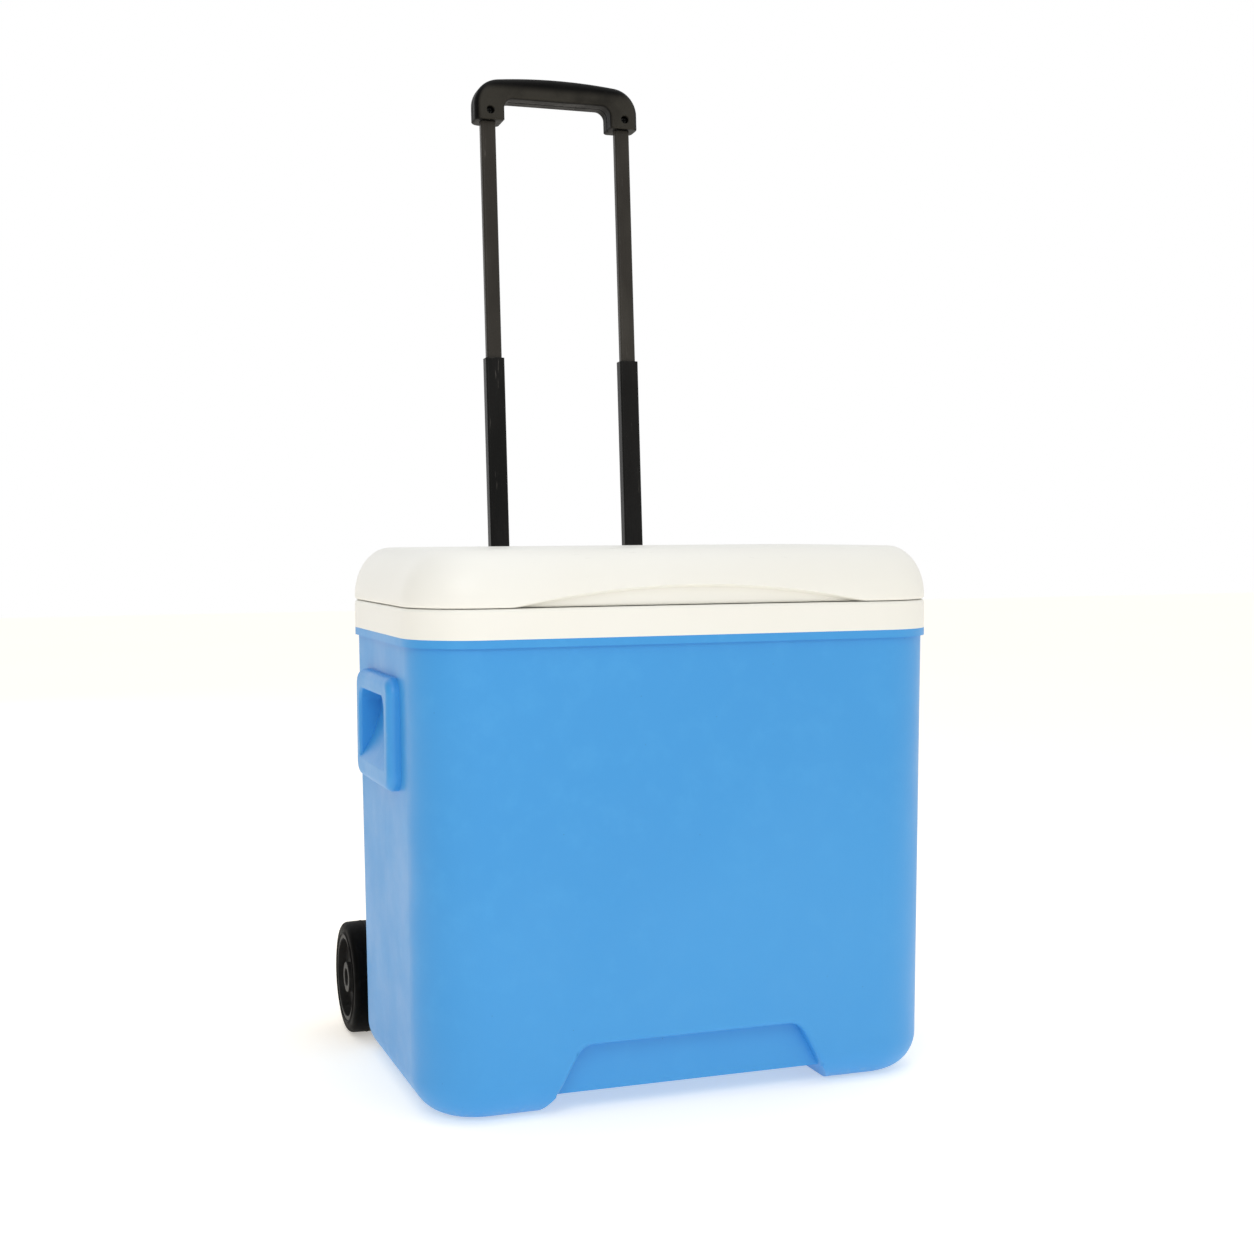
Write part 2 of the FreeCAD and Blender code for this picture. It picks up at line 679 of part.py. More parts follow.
# ---- hinges ----
def hinge_pin(side):
    return rod(HINGE_PIN_R, Vector(side * HINGE_X - SADDLE_HALF, HINGE_Y, HINGE_Z),
               Vector(side * HINGE_X + SADDLE_HALF, HINGE_Y, HINGE_Z))


def hinge_base(side, base_screws):
    """Plate on the collar's rear face with a stem and knuckle that reach into the lid."""
    x0 = side * HINGE_X - KNUCKLE_HALF
    x1 = side * HINGE_X + KNUCKLE_HALF
    back = HALF_DEPTH + HINGE_PLATE
    foot_top = COLLAR_TOP + HINGE_FOOT_THICK
    plate = box(x0, x1, HALF_DEPTH, back, HINGE_PLATE_LOW, foot_top)
    foot = box(x0, x1, HINGE_Y - STEM_HALF, back, COLLAR_TOP, foot_top)
    stem = box(x0, x1, HINGE_Y - STEM_HALF, HINGE_Y + STEM_HALF, COLLAR_TOP, HINGE_Z)
    centre = Vector(x0, HINGE_Y, HINGE_Z)
    knuckle = rod(KNUCKLE_R, centre, Vector(x1, HINGE_Y, HINGE_Z))
    bore = rod(HINGE_PIN_R + HINGE_RUN_FIT, Vector(x0 - EPS, HINGE_Y, HINGE_Z),
               Vector(x1 + EPS, HINGE_Y, HINGE_Z))
    solid = plate.fuse([foot, stem, knuckle]).cut(bore)
    return cut_all(solid, base_screws)


def lid_hinge(side, lid_screws):
    """Saddle that lines the lid's pocket and holds the pin in its two cheeks."""
    pocket = hinge_pocket(side, 0).common(lid_form(0))
    notch = box(side * HINGE_X - NOTCH_HALF, side * HINGE_X + NOTCH_HALF,
                HINGE_Y - NOTCH_REACH, HALF_DEPTH + 2 * EPS,
                LID_LOW - 2 * EPS, HINGE_Z + NOTCH_REACH)
    return cut_all(pocket.cut(notch), [hinge_pin(side)] + lid_screws)


# ---- wheels ----
def turned(points):
    """Solid of revolution about the right wheel's axle from points (radius, x)."""
    corners = [Vector(x, AXLE_Y + radius, AXLE_Z) for radius, x in points]
    face = Part.Face(Part.makePolygon(corners + corners[:1]))
    return face.revolve(Vector(0, AXLE_Y, AXLE_Z), Vector(1, 0, 0), 360)


def tyre():
    solid = turned([(RIM_R, WHEEL_IN_X), (WHEEL_R, WHEEL_IN_X),
                    (WHEEL_R, WHEEL_OUT_X), (RIM_R, WHEEL_OUT_X)])
    rims = [edge for edge in solid.Edges
            if isinstance(edge.Curve, Part.Circle) and edge.Curve.Radius > WHEEL_R - 0.01]
    return solid.makeFillet(TYRE_SHOULDER, rims)


def wheel_hub():
    """Ring, web with round windows between the spokes, and a bored boss."""
    web_x = WHEEL_OUT_X - HUB_WEB_INSET
    ring_in = WHEEL_IN_X + HUB_RING_SHORT
    ring_out = WHEEL_OUT_X - HUB_RING_SHORT
    ring = turned([(RIM_R - HUB_RING, ring_in), (RIM_R, ring_in),
                   (RIM_R, ring_out), (RIM_R - HUB_RING, ring_out)])
    web = rod(RIM_R - HUB_RING, Vector(web_x - HUB_WEB, AXLE_Y, AXLE_Z), Vector(web_x, AXLE_Y, AXLE_Z))
    boss_end = WHEEL_OUT_X - HUB_BOSS_SHORT
    boss = rod(HUB_BOSS_R, Vector(WHEEL_IN_X, AXLE_Y, AXLE_Z), Vector(boss_end, AXLE_Y, AXLE_Z))
    tools = [
        rod(AXLE_R + AXLE_RUN_FIT, Vector(WHEEL_IN_X - EPS, AXLE_Y, AXLE_Z),
            Vector(WHEEL_OUT_X, AXLE_Y, AXLE_Z)),
        rod(HUB_COUNTERBORE_R, Vector(boss_end - HUB_COUNTERBORE, AXLE_Y, AXLE_Z),
            Vector(WHEEL_OUT_X, AXLE_Y, AXLE_Z)),
    ]
    for index in range(SPOKE_COUNT):
        angle = 2 * math.pi * (index + 0.5) / SPOKE_COUNT
        y = AXLE_Y + WINDOW_RING_R * math.sin(angle)
        z = AXLE_Z + WINDOW_RING_R * math.cos(angle)
        tools.append(rod(WINDOW_R, Vector(web_x - HUB_WEB - EPS, y, z), Vector(WHEEL_OUT_X, y, z)))
    return ring.fuse([web, boss]).cut(tools)


def axle():
    end = WHEEL_OUT_X - AXLE_SHORT
    return rod(AXLE_R, Vector(-end, AXLE_Y, AXLE_Z), Vector(end, AXLE_Y, AXLE_Z))


def push_nut():
    start = WHEEL_OUT_X - HUB_BOSS_SHORT - HUB_COUNTERBORE + PUSH_NUT_PLAY
    disc = rod(PUSH_NUT_R, Vector(start, AXLE_Y, AXLE_Z), Vector(start + PUSH_NUT_THICK, AXLE_Y, AXLE_Z))
    return disc.cut(axle())


def wheel_spacer():
    sleeve = rod(SPACER_R, Vector(CARRIER_HALF, AXLE_Y, AXLE_Z),
                 Vector(WHEEL_IN_X - SPACER_PLAY, AXLE_Y, AXLE_Z))
    return sleeve.cut(axle())


# ---- brackets ----
def upper_bracket(wall_screws, clamp_screws, tubes):
    """Plate on the rear wall with two arms that reach out to the guide tubes."""
    low, high = BRACKET_LOW, BRACKET_HIGH
    plate = polygon_x([(rear_wall_y(low), low), (rear_wall_y(high), high),
                       (rear_wall_y(high) + BRACKET_PLATE, high),
                       (rear_wall_y(low) + BRACKET_PLATE, low)], -BRACKET_HALF, BRACKET_HALF)
    arm_shape = [(rear_wall_y(low), low), (rear_wall_y(high), high), (tube_y(high), high), (tube_y(low), low)]
    arm = polygon_x(arm_shape, TUBE_HALF_SPACING - ARM_HALF, TUBE_HALF_SPACING + ARM_HALF)
    return cut_all(plate.fuse(both_sides(arm)), tubes + wall_screws + clamp_screws)


def tube_clamp(clamp_screws, tubes):
    """Bar that closes over the back of both guide tubes."""
    low, high = BRACKET_LOW, BRACKET_HIGH
    bar = polygon_x([(tube_y(low), low), (tube_y(high), high),
                     (tube_y(high) + CLAMP_BACK, high), (tube_y(low) + CLAMP_BACK, low)],
                    -TUBE_HALF_SPACING - ARM_HALF, TUBE_HALF_SPACING + ARM_HALF)
    return cut_all(bar, tubes + clamp_screws)


def clamp_screw_seats():
    middle = (BRACKET_LOW + BRACKET_HIGH) / 2
    seats = []
    for side in (-1, 1):
        for step in (-CLAMP_SCREW_OFFSET, CLAMP_SCREW_OFFSET):
            seats.append(Vector(side * TUBE_HALF_SPACING + step, tube_y(middle) + CLAMP_BACK, middle))
    return seats


def axle_carrier(wall_screws, tubes):
    """Plate low on the rear wall whose arms hold the axle and the tubes' feet."""
    low, high = CARRIER_LOW, CARRIER_HIGH
    plate = polygon_x([(rear_wall_y(low), low), (rear_wall_y(high), high),
                       (rear_wall_y(high) + BRACKET_PLATE, high),
                       (rear_wall_y(low) + BRACKET_PLATE, low)], -CARRIER_HALF, CARRIER_HALF)
    socket_shape = [(rear_wall_y(low), low), (rear_wall_y(high), high), (tube_y(high) + CLAMP_BACK, high),
                    (tube_y(AXLE_Z) + CLAMP_BACK, AXLE_Z), (AXLE_Y, AXLE_Z - CARRIER_NOSE_R)]
    socket = polygon_x(socket_shape, TUBE_HALF_SPACING - ARM_HALF, TUBE_HALF_SPACING + ARM_HALF)
    end_shape = [(rear_wall_y(low), low), (rear_wall_y(END_ARM_HIGH), END_ARM_HIGH),
                 (AXLE_Y, AXLE_Z + CARRIER_NOSE_R), (AXLE_Y, AXLE_Z - CARRIER_NOSE_R)]
    end_arm = polygon_x(end_shape, CARRIER_HALF - END_ARM_WIDTH, CARRIER_HALF)
    nose = rod(CARRIER_NOSE_R, Vector(CARRIER_HALF - END_ARM_WIDTH, AXLE_Y, AXLE_Z),
               Vector(CARRIER_HALF, AXLE_Y, AXLE_Z))
    inner_nose = rod(CARRIER_NOSE_R, Vector(TUBE_HALF_SPACING - ARM_HALF, AXLE_Y, AXLE_Z),
                     Vector(TUBE_HALF_SPACING + ARM_HALF, AXLE_Y, AXLE_Z))
    pieces = both_sides(socket) + both_sides(end_arm) + both_sides(nose) + both_sides(inner_nose)
    return cut_all(plate.fuse(pieces), tubes + wall_screws + [axle()])


# ---- pull-out handle, built upright about the tube line ----
def oblong(width, depth, corner, low, high):
    return rounded_block(width / 2, -depth / 2, depth / 2, corner, corner, low, high)


def on_tubes(shape):
    """One copy on the right tube and one on the left, both leaned back."""
    right = shape.copy()
    right.translate(Vector(TUBE_HALF_SPACING, 0, 0))
    left = shape.copy()
    left.translate(Vector(-TUBE_HALF_SPACING, 0, 0))
    return {"right": leaned(right), "left": leaned(left)}


def tube(width, depth, wall, low, high):
    outside = oblong(width, depth, TUBE_CORNER, low, high)
    inside = oblong(width - 2 * wall, depth - 2 * wall, TUBE_CORNER - wall, low - EPS, high + EPS)
    return outside.cut(inside)


def guide_bushing():
    """Plastic collar on the guide tube's mouth with a lip inside it."""
    inner_w = GUIDE_WIDTH - 2 * GUIDE_WALL
    inner_d = GUIDE_DEPTH - 2 * GUIDE_WALL
    collar = oblong(GUIDE_WIDTH + 2 * BUSH_COLLAR_OUT, GUIDE_DEPTH + 2 * BUSH_COLLAR_OUT,
                    TUBE_CORNER + BUSH_COLLAR_OUT, GUIDE_TOP - BUSH_COLLAR, GUIDE_TOP + BUSH_COLLAR)
    collar = collar.cut(oblong(GUIDE_WIDTH, GUIDE_DEPTH, TUBE_CORNER, GUIDE_TOP - BUSH_COLLAR - EPS, GUIDE_TOP))
    lip = oblong(inner_w, inner_d, TUBE_CORNER - GUIDE_WALL, GUIDE_TOP - BUSH_LIP, GUIDE_TOP + BUSH_COLLAR)
    bore = oblong(LOWER_WIDTH + 2 * RUN_FIT, LOWER_DEPTH + 2 * RUN_FIT, TUBE_CORNER + RUN_FIT,
                  GUIDE_TOP - BUSH_LIP - EPS, GUIDE_TOP + BUSH_COLLAR + EPS)
    return collar.fuse(lip).cut(bore)


def lower_sleeve():
    """Thin sleeve in the lower stage's mouth, capped over the tube's end."""
    cap = oblong(LOWER_WIDTH, LOWER_DEPTH, TUBE_CORNER, LOWER_TOP - SLEEVE_CAP, LOWER_TOP)
    lip = oblong(LOWER_WIDTH - 2 * TUBE_WALL, LOWER_DEPTH - 2 * TUBE_WALL, TUBE_CORNER - TUBE_WALL,
                 LOWER_TOP - BUSH_LIP, LOWER_TOP)
    bore = oblong(UPPER_WIDTH + 2 * RUN_FIT, UPPER_DEPTH + 2 * RUN_FIT, TUBE_CORNER / 2,
                  LOWER_TOP - BUSH_LIP - EPS, LOWER_TOP + EPS)
    return cap.fuse(lip).cut(bore)


def glide(width, depth, outer_width, outer_depth, outer_wall, foot):
    """Foot plug of a sliding stage: a flange that runs in the outer tube, and a spigot."""
    play = 2 * (outer_wall + RUN_FIT)
    flange = oblong(outer_width - play, outer_depth - play, TUBE_CORNER - outer_wall - RUN_FIT,
                    foot - GLIDE_FLANGE, foot)
    spigot = oblong(width - 2 * TUBE_WALL, depth - 2 * TUBE_WALL, TUBE_CORNER - TUBE_WALL,
                    foot, foot + GLIDE_SPIGOT)
    return flange.fuse(spigot)


def grip_form():
    """Closed arch of the grip: two posts, rounded corners and a crowned bar."""
    out = GRIP_HALF_WIDTH
    inner = TUBE_HALF_SPACING - POST_WIDTH / 2
    under = GRIP_FOOT + GRIP_BAR_UNDER
    r_out, r_in = GRIP_OUTER_R, GRIP_INNER_R
    bend_in = r_in * (1 - math.sqrt(0.5))
    half_flat = out - r_out
    crown_r = (half_flat ** 2 + GRIP_CROWN ** 2) / (2 * GRIP_CROWN)
    crown_centre = GRIP_TOP - crown_r
    centre_s = crown_centre + math.sqrt((crown_r - r_out) ** 2 - half_flat ** 2)
    meet = math.atan2(centre_s - crown_centre, half_flat)
    join_x = crown_r * math.cos(meet)
    join_s = crown_centre + crown_r * math.sin(meet)
    mid_x = half_flat + r_out * math.cos(meet / 2)
    mid_s = centre_s + r_out * math.sin(meet / 2)

    def at(x, s):
        return Vector(x, -HANDLE_GRIP_DEPTH / 2, s)

    edges = [
        Part.LineSegment(at(-out, GRIP_FOOT), at(-out, centre_s)).toShape(),
        Part.Arc(at(-out, centre_s), at(-mid_x, mid_s), at(-join_x, join_s)).toShape(),
        Part.Arc(at(-join_x, join_s), at(0, GRIP_TOP), at(join_x, join_s)).toShape(),
        Part.Arc(at(join_x, join_s), at(mid_x, mid_s), at(out, centre_s)).toShape(),
        Part.LineSegment(at(out, centre_s), at(out, GRIP_FOOT)).toShape(),
        Part.LineSegment(at(out, GRIP_FOOT), at(inner, GRIP_FOOT)).toShape(),
        Part.LineSegment(at(inner, GRIP_FOOT), at(inner, under - r_in)).toShape(),
        Part.Arc(at(inner, under - r_in), at(inner - bend_in, under - bend_in), at(inner - r_in, under)).toShape(),
        Part.LineSegment(at(inner - r_in, under), at(-inner + r_in, under)).toShape(),
        Part.Arc(at(-inner + r_in, under), at(-inner + bend_in, under - bend_in), at(-inner, under - r_in)).toShape(),
        Part.LineSegment(at(-inner, under - r_in), at(-inner, GRIP_FOOT)).toShape(),
        Part.LineSegment(at(-inner, GRIP_FOOT), at(-out, GRIP_FOOT)).toShape(),
    ]
    solid = Part.Face(Part.Wire(edges)).extrude(Vector(0, HANDLE_GRIP_DEPTH, 0))
    faces = (-HANDLE_GRIP_DEPTH / 2, HANDLE_GRIP_DEPTH / 2)
    rims = [edge for edge in solid.Edges
            if edge.BoundBox.YLength < 0.01 and min(abs(edge.BoundBox.YMin - y) for y in faces) < 0.01
            and edge.BoundBox.ZMax > GRIP_FOOT + 0.01]
    palm = [edge for edge in rims if max(-edge.BoundBox.XMin, edge.BoundBox.XMax) < inner + EPS
            and edge.BoundBox.ZMax < under + EPS]
    outer = [edge for edge in rims if not any(edge.isSame(other) for other in palm)]
    return solid.makeFillet(GRIP_ROUND, outer).makeFillet(GRIP_INNER_ROUND, palm)


def grip_screw_seats():
    """Seats sunk in the front of the posts, before the handle is leaned."""
    depth = GRIP_SCREW_SUNK - HANDLE_GRIP_DEPTH / 2
    return [Vector(side * TUBE_HALF_SPACING, depth, GRIP_FOOT + GRIP_SCREW_RISE) for side in (-1, 1)]


def grip_halves(filled_tubes, screws):
    """Front and rear mouldings of the grip, hollow along the bar."""
    form = leaned(grip_form())
    reach = TUBE_HALF_SPACING - POST_WIDTH / 2 - GRIP_WALL
    under = GRIP_FOOT + GRIP_BAR_UNDER + GRIP_WALL
    hollow = leaned(box(-reach, reach, GRIP_WALL - HANDLE_GRIP_DEPTH / 2, HANDLE_GRIP_DEPTH / 2 - GRIP_WALL,
                        under, GRIP_TOP - GRIP_CROWN - GRIP_WALL))
    well_r = SCREW_HEAD_R + GRIP_WELL_PLAY
    wells = [leaned(rod(well_r, seat + FORWARD * HANDLE_GRIP_DEPTH, seat)) for seat in grip_screw_seats()]
    form = cut_all(form, [hollow] + filled_tubes + wells + screws)
    size = 2 * GRIP_HALF_WIDTH
    front = leaned(box(-size, size, -size, 0, GRIP_FOOT - EPS, GRIP_TOP + EPS))
    rear = leaned(box(-size, size, 0, size, GRIP_FOOT - EPS, GRIP_TOP + EPS))
    return form.common(front), form.common(rear)


# ---- assembly ----
def save(name, solids):
    """Write one node, moved so that the object's box is centred on the origin."""
    group = solids if isinstance(solids, list) else [solids]
    whole = group[0] if len(group) == 1 else Part.makeCompound(group)
    placed = whole.copy()
    placed.translate(Vector(0, -FRAME_SHIFT, 0))
    placed.exportStep(os.path.join("parts", name + ".step"))
    print(name, len(placed.Solids), "solids", round(placed.Volume / 1000, 2), "cm3",
          "valid" if placed.isValid() else "INVALID")


def build_chest(wall_screws, base_screws):
    cavity = shell_cavity()
    save("outer_shell", outer_shell(cavity, wall_screws))
    save("inner_liner", inner_liner(base_screws))
    save("body_foam", body_foam(cavity))


def build_lid():
    screws = screw_group(lid_hinge_screw_seats(), HINGE_SCREW)
    cavity = lid_cavity()
    save("lid_shell", lid_shell(cavity, screws))
    save("lid_panel", lid_panel(cavity))
    save("lid_foam", lid_foam(cavity))
    save("lid_hinge_screws", slotted(screws, lid_hinge_screw_seats(), FORWARD))
    save("hinge_pins", [hinge_pin(side) for side in (-1, 1)])
    for name, side in (("left", -1), ("right", 1)):
        save(name + "_lid_hinge", lid_hinge(side, screws))


def build_wheels():
    for name, place in (("right", lambda shape: shape), ("left", mirrored)):
        save(name + "_tyre", place(tyre()))
        save(name + "_wheel_hub", place(wheel_hub()))
    save("axle_rod", axle())
    save("axle_push_nuts", both_sides(push_nut()))
    save("wheel_spacers", both_sides(wheel_spacer()))


def build_handle():
    guides = on_tubes(tube(GUIDE_WIDTH, GUIDE_DEPTH, GUIDE_WALL, GUIDE_FOOT, GUIDE_TOP))
    lowers = on_tubes(tube(LOWER_WIDTH, LOWER_DEPTH, TUBE_WALL, LOWER_FOOT, LOWER_TOP - SLEEVE_CAP))
    uppers = on_tubes(tube(UPPER_WIDTH, UPPER_DEPTH, TUBE_WALL, UPPER_FOOT, UPPER_TOP))
    bushings = on_tubes(guide_bushing())
    sleeves = on_tubes(lower_sleeve())
    lower_glides = on_tubes(glide(LOWER_WIDTH, LOWER_DEPTH, GUIDE_WIDTH, GUIDE_DEPTH, GUIDE_WALL, LOWER_FOOT))
    upper_glides = on_tubes(glide(UPPER_WIDTH, UPPER_DEPTH, LOWER_WIDTH, LOWER_DEPTH, TUBE_WALL, UPPER_FOOT))
    filled = on_tubes(oblong(UPPER_WIDTH, UPPER_DEPTH, TUBE_CORNER, GRIP_FOOT - EPS, UPPER_TOP))
    seats = grip_screw_seats()
    plain_screws = [screw(seat, BACKWARD, GRIP_SCREW) for seat in seats]
    screws = [leaned(fastener) for fastener in plain_screws]
    for side in ("left", "right"):
        save(side + "_guide_tube", guides[side])
        save(side + "_guide_bushing", bushings[side])
        save(side + "_lower_tube", lowers[side])
        save(side + "_lower_sleeve", sleeves[side])
        save(side + "_lower_glide", lower_glides[side])
        save(side + "_upper_tube", cut_all(uppers[side], screws))
        save(side + "_upper_glide", upper_glides[side])
    front, rear = grip_halves(list(filled.values()), screws)
    save("grip_front", front)
    save("grip_back", rear)
    save("grip_screws", [leaned(fastener) for fastener in slotted(plain_screws, seats, BACKWARD)])


def build_brackets(bracket_screws, carrier_screws):
    clamp_screws = screw_group(clamp_screw_seats(), CLAMP_SCREW)
    solid_guides = list(on_tubes(oblong(GUIDE_WIDTH, GUIDE_DEPTH, TUBE_CORNER, GUIDE_FOOT, GUIDE_TOP)).values())
    save("upper_bracket", upper_bracket(bracket_screws, clamp_screws, solid_guides))
    save("tube_clamp", tube_clamp(clamp_screws, solid_guides))
    save("axle_carrier", axle_carrier(carrier_screws, solid_guides))
    save("bracket_screws", slotted(bracket_screws, bracket_screw_seats(), FORWARD))
    save("carrier_screws", slotted(carrier_screws, carrier_screw_seats(), FORWARD))
    save("clamp_screws", slotted(clamp_screws, clamp_screw_seats(), FORWARD))


def main():
    os.makedirs("parts", exist_ok=True)
    bracket_screws = screw_group(bracket_screw_seats(), WALL_SCREW)
    carrier_screws = screw_group(carrier_screw_seats(), WALL_SCREW)
    base_screws = screw_group(hinge_base_screw_seats(), HINGE_SCREW)
    build_chest(bracket_screws + carrier_screws, base_screws)
    build_lid()
    for name, side in (("left", -1), ("right", 1)):
        save(name + "_hinge_base", hinge_base(side, base_screws))
    save("hinge_base_screws", slotted(base_screws, hinge_base_screw_seats(), FORWARD))
    build_wheels()
    build_handle()
    build_brackets(bracket_screws, carrier_screws)
    print("frame shift", round(FRAME_SHIFT, 3))


main()
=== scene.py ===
# %% [markdown]
# # A two-wheeled ice chest, finished in Blender
# The CAD model gives every piece its place. This lesson loads it as a fixed frame, rebuilds the pieces
# whose soft edges matter most, and gives every plastic, metal and rubber surface a procedural finish.

# %% Load the frame
import json
import math

import bmesh
import bpy
import numpy as np
from mathutils import Matrix, Vector

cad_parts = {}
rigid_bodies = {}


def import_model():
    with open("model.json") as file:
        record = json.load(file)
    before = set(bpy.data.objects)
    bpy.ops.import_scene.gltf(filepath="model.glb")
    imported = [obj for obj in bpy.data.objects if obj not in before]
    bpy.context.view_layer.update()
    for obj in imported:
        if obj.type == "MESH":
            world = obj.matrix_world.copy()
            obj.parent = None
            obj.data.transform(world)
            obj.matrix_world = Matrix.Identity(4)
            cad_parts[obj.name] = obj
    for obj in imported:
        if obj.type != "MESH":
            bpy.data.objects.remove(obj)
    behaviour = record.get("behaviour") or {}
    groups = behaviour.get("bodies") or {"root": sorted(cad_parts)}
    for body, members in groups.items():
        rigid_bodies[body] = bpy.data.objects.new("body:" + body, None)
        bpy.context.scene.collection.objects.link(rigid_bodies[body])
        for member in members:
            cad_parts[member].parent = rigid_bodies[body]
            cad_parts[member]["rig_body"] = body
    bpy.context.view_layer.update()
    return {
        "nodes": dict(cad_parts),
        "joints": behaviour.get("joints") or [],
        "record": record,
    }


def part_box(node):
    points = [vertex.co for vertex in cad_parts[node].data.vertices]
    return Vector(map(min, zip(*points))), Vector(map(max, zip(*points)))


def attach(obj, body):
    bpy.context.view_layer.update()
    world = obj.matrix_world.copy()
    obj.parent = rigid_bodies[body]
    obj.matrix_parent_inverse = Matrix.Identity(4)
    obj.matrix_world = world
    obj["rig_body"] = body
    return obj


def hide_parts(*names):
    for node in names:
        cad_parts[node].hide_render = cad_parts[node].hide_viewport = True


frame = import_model()
nodes = frame["nodes"]

# %% [markdown]
# ## Camera
# Product pictures of a chest are taken from a little above its middle with a portrait lens, so the
# upright edges stay almost parallel. A turn of about twenty degrees shows the front and one side.

# %% Camera
camera_data = bpy.data.cameras.new("studio_camera")
camera_data.sensor_width = 36.0
camera_data.lens = 51.39
camera = bpy.data.objects.new("studio_camera", camera_data)
camera_turn = (Matrix.Rotation(math.radians(-19.54), 3, "Z")
               @ Matrix.Rotation(math.radians(90 - 3.10), 3, "X")
               @ Matrix.Rotation(-0.0054, 3, "Z"))
camera.location = (-0.53435, -1.5325, 0.46968)
camera.rotation_euler = camera_turn.to_euler()
bpy.context.scene.collection.objects.link(camera)
bpy.context.scene.camera = camera
print("camera", round(camera_data.lens, 2), "mm")

# %% [markdown]
# ## Studio
# A white floor and a white sky make the bright, almost shadowless setting of a catalogue picture. The
# sky is dimmer to the left, so the side wall turns darker than the front. One large soft light hangs
# overhead, a small key stands in front on the left and draws thin highlights along the corners, and a
# card at the back left puts the pale sheen on the chest's side wall.

# %% Floor, sky and lights
scene = bpy.context.scene
scene.view_settings.view_transform = "Standard"
FLOOR_HALF = 9.0


def soft_light(name, place, aim, size, power, colour=(1.0, 1.0, 1.0)):
    """Square area light at place, turned so that its face looks at aim."""
    data = bpy.data.lights.new(name, "AREA")
    data.shape = "SQUARE"
    data.size = size
    data.energy = power
    data.color = colour
    lamp = bpy.data.objects.new(name, data)
    lamp.location = place
    lamp.rotation_euler = (Vector(aim) - Vector(place)).to_track_quat("-Z", "Y").to_euler()
    scene.collection.objects.link(lamp)
    return lamp


def white_sky(light, seen, left_share, front_share):
    """Sky seen at one strength, and lighting with another that falls off to the left and to the front."""
    world = bpy.data.worlds.new("white_sky")
    scene.world = world
    world.use_nodes = True
    tree = world.node_tree
    direction = tree.nodes.new("ShaderNodeSeparateXYZ")
    tree.links.new(tree.nodes.new("ShaderNodeTexCoord").outputs["Generated"], direction.inputs[0])

    def falloff(axis, full, share):
        fade = tree.nodes.new("ShaderNodeMapRange")
        tree.links.new(direction.outputs[axis], fade.inputs["Value"])
        for key, value in (("From Min", -1.0), ("From Max", full), ("To Min", share), ("To Max", 1.0)):
            fade.inputs[key].default_value = value
        return fade.outputs[0]

    def product(first, second):
        times = tree.nodes.new("ShaderNodeMath")
        times.operation = "MULTIPLY"
        tree.links.new(first, times.inputs[0])
        if isinstance(second, float):
            times.inputs[1].default_value = second
        else:
            tree.links.new(second, times.inputs[1])
        return times.outputs[0]

    ground = tree.nodes["Background"]
    ground.inputs["Color"].default_value = (1.0, 1.0, 1.0, 1.0)
    shares = product(falloff("X", -0.1, left_share), falloff("Y", 0.0, front_share))
    tree.links.new(product(shares, light), ground.inputs["Strength"])
    backdrop = tree.nodes.new("ShaderNodeBackground")
    backdrop.inputs["Color"].default_value = (1.0, 1.0, 1.0, 1.0)
    backdrop.inputs["Strength"].default_value = seen
    rays = tree.nodes.new("ShaderNodeLightPath")
    choice = tree.nodes.new("ShaderNodeMixShader")
    tree.links.new(rays.outputs["Is Camera Ray"], choice.inputs["Fac"])
    tree.links.new(ground.outputs[0], choice.inputs[1])
    tree.links.new(backdrop.outputs[0], choice.inputs[2])
    tree.links.new(choice.outputs[0], tree.nodes["World Output"].inputs["Surface"])


white_sky(0.84, 1.0, 0.3, 0.75)
soft_light("overhead", (-0.1, -0.3, 2.7), (0.0, 0.0, 0.2), 2.4, 10)
soft_light("key", (-0.75, -1.3, 1.25), (0.0, 0.0, 0.3), 0.7, 5.5)
soft_light("side_card", (-1.45, 3.0, 1.3), (-0.2, 0.0, 0.3), 2.2, 7)

floor_mesh = bpy.data.meshes.new("studio_floor")
corner = FLOOR_HALF
floor_corners = [(-corner, -corner, 0), (corner, -corner, 0), (corner, corner, 0), (-corner, corner, 0)]
floor_mesh.from_pydata(floor_corners, [], [(0, 1, 2, 3)])
studio_floor = bpy.data.objects.new("studio_floor", floor_mesh)
scene.collection.objects.link(studio_floor)
print("floor", 2 * FLOOR_HALF, "m square")

# %% [markdown]
# ## A small kit for finishes
# A moulded surface is never one flat colour: pigment drifts, the tool's grain scatters light, and edges
# rub shiny or pale. Each finish below is built from the same few steps, so they are wrapped here once.

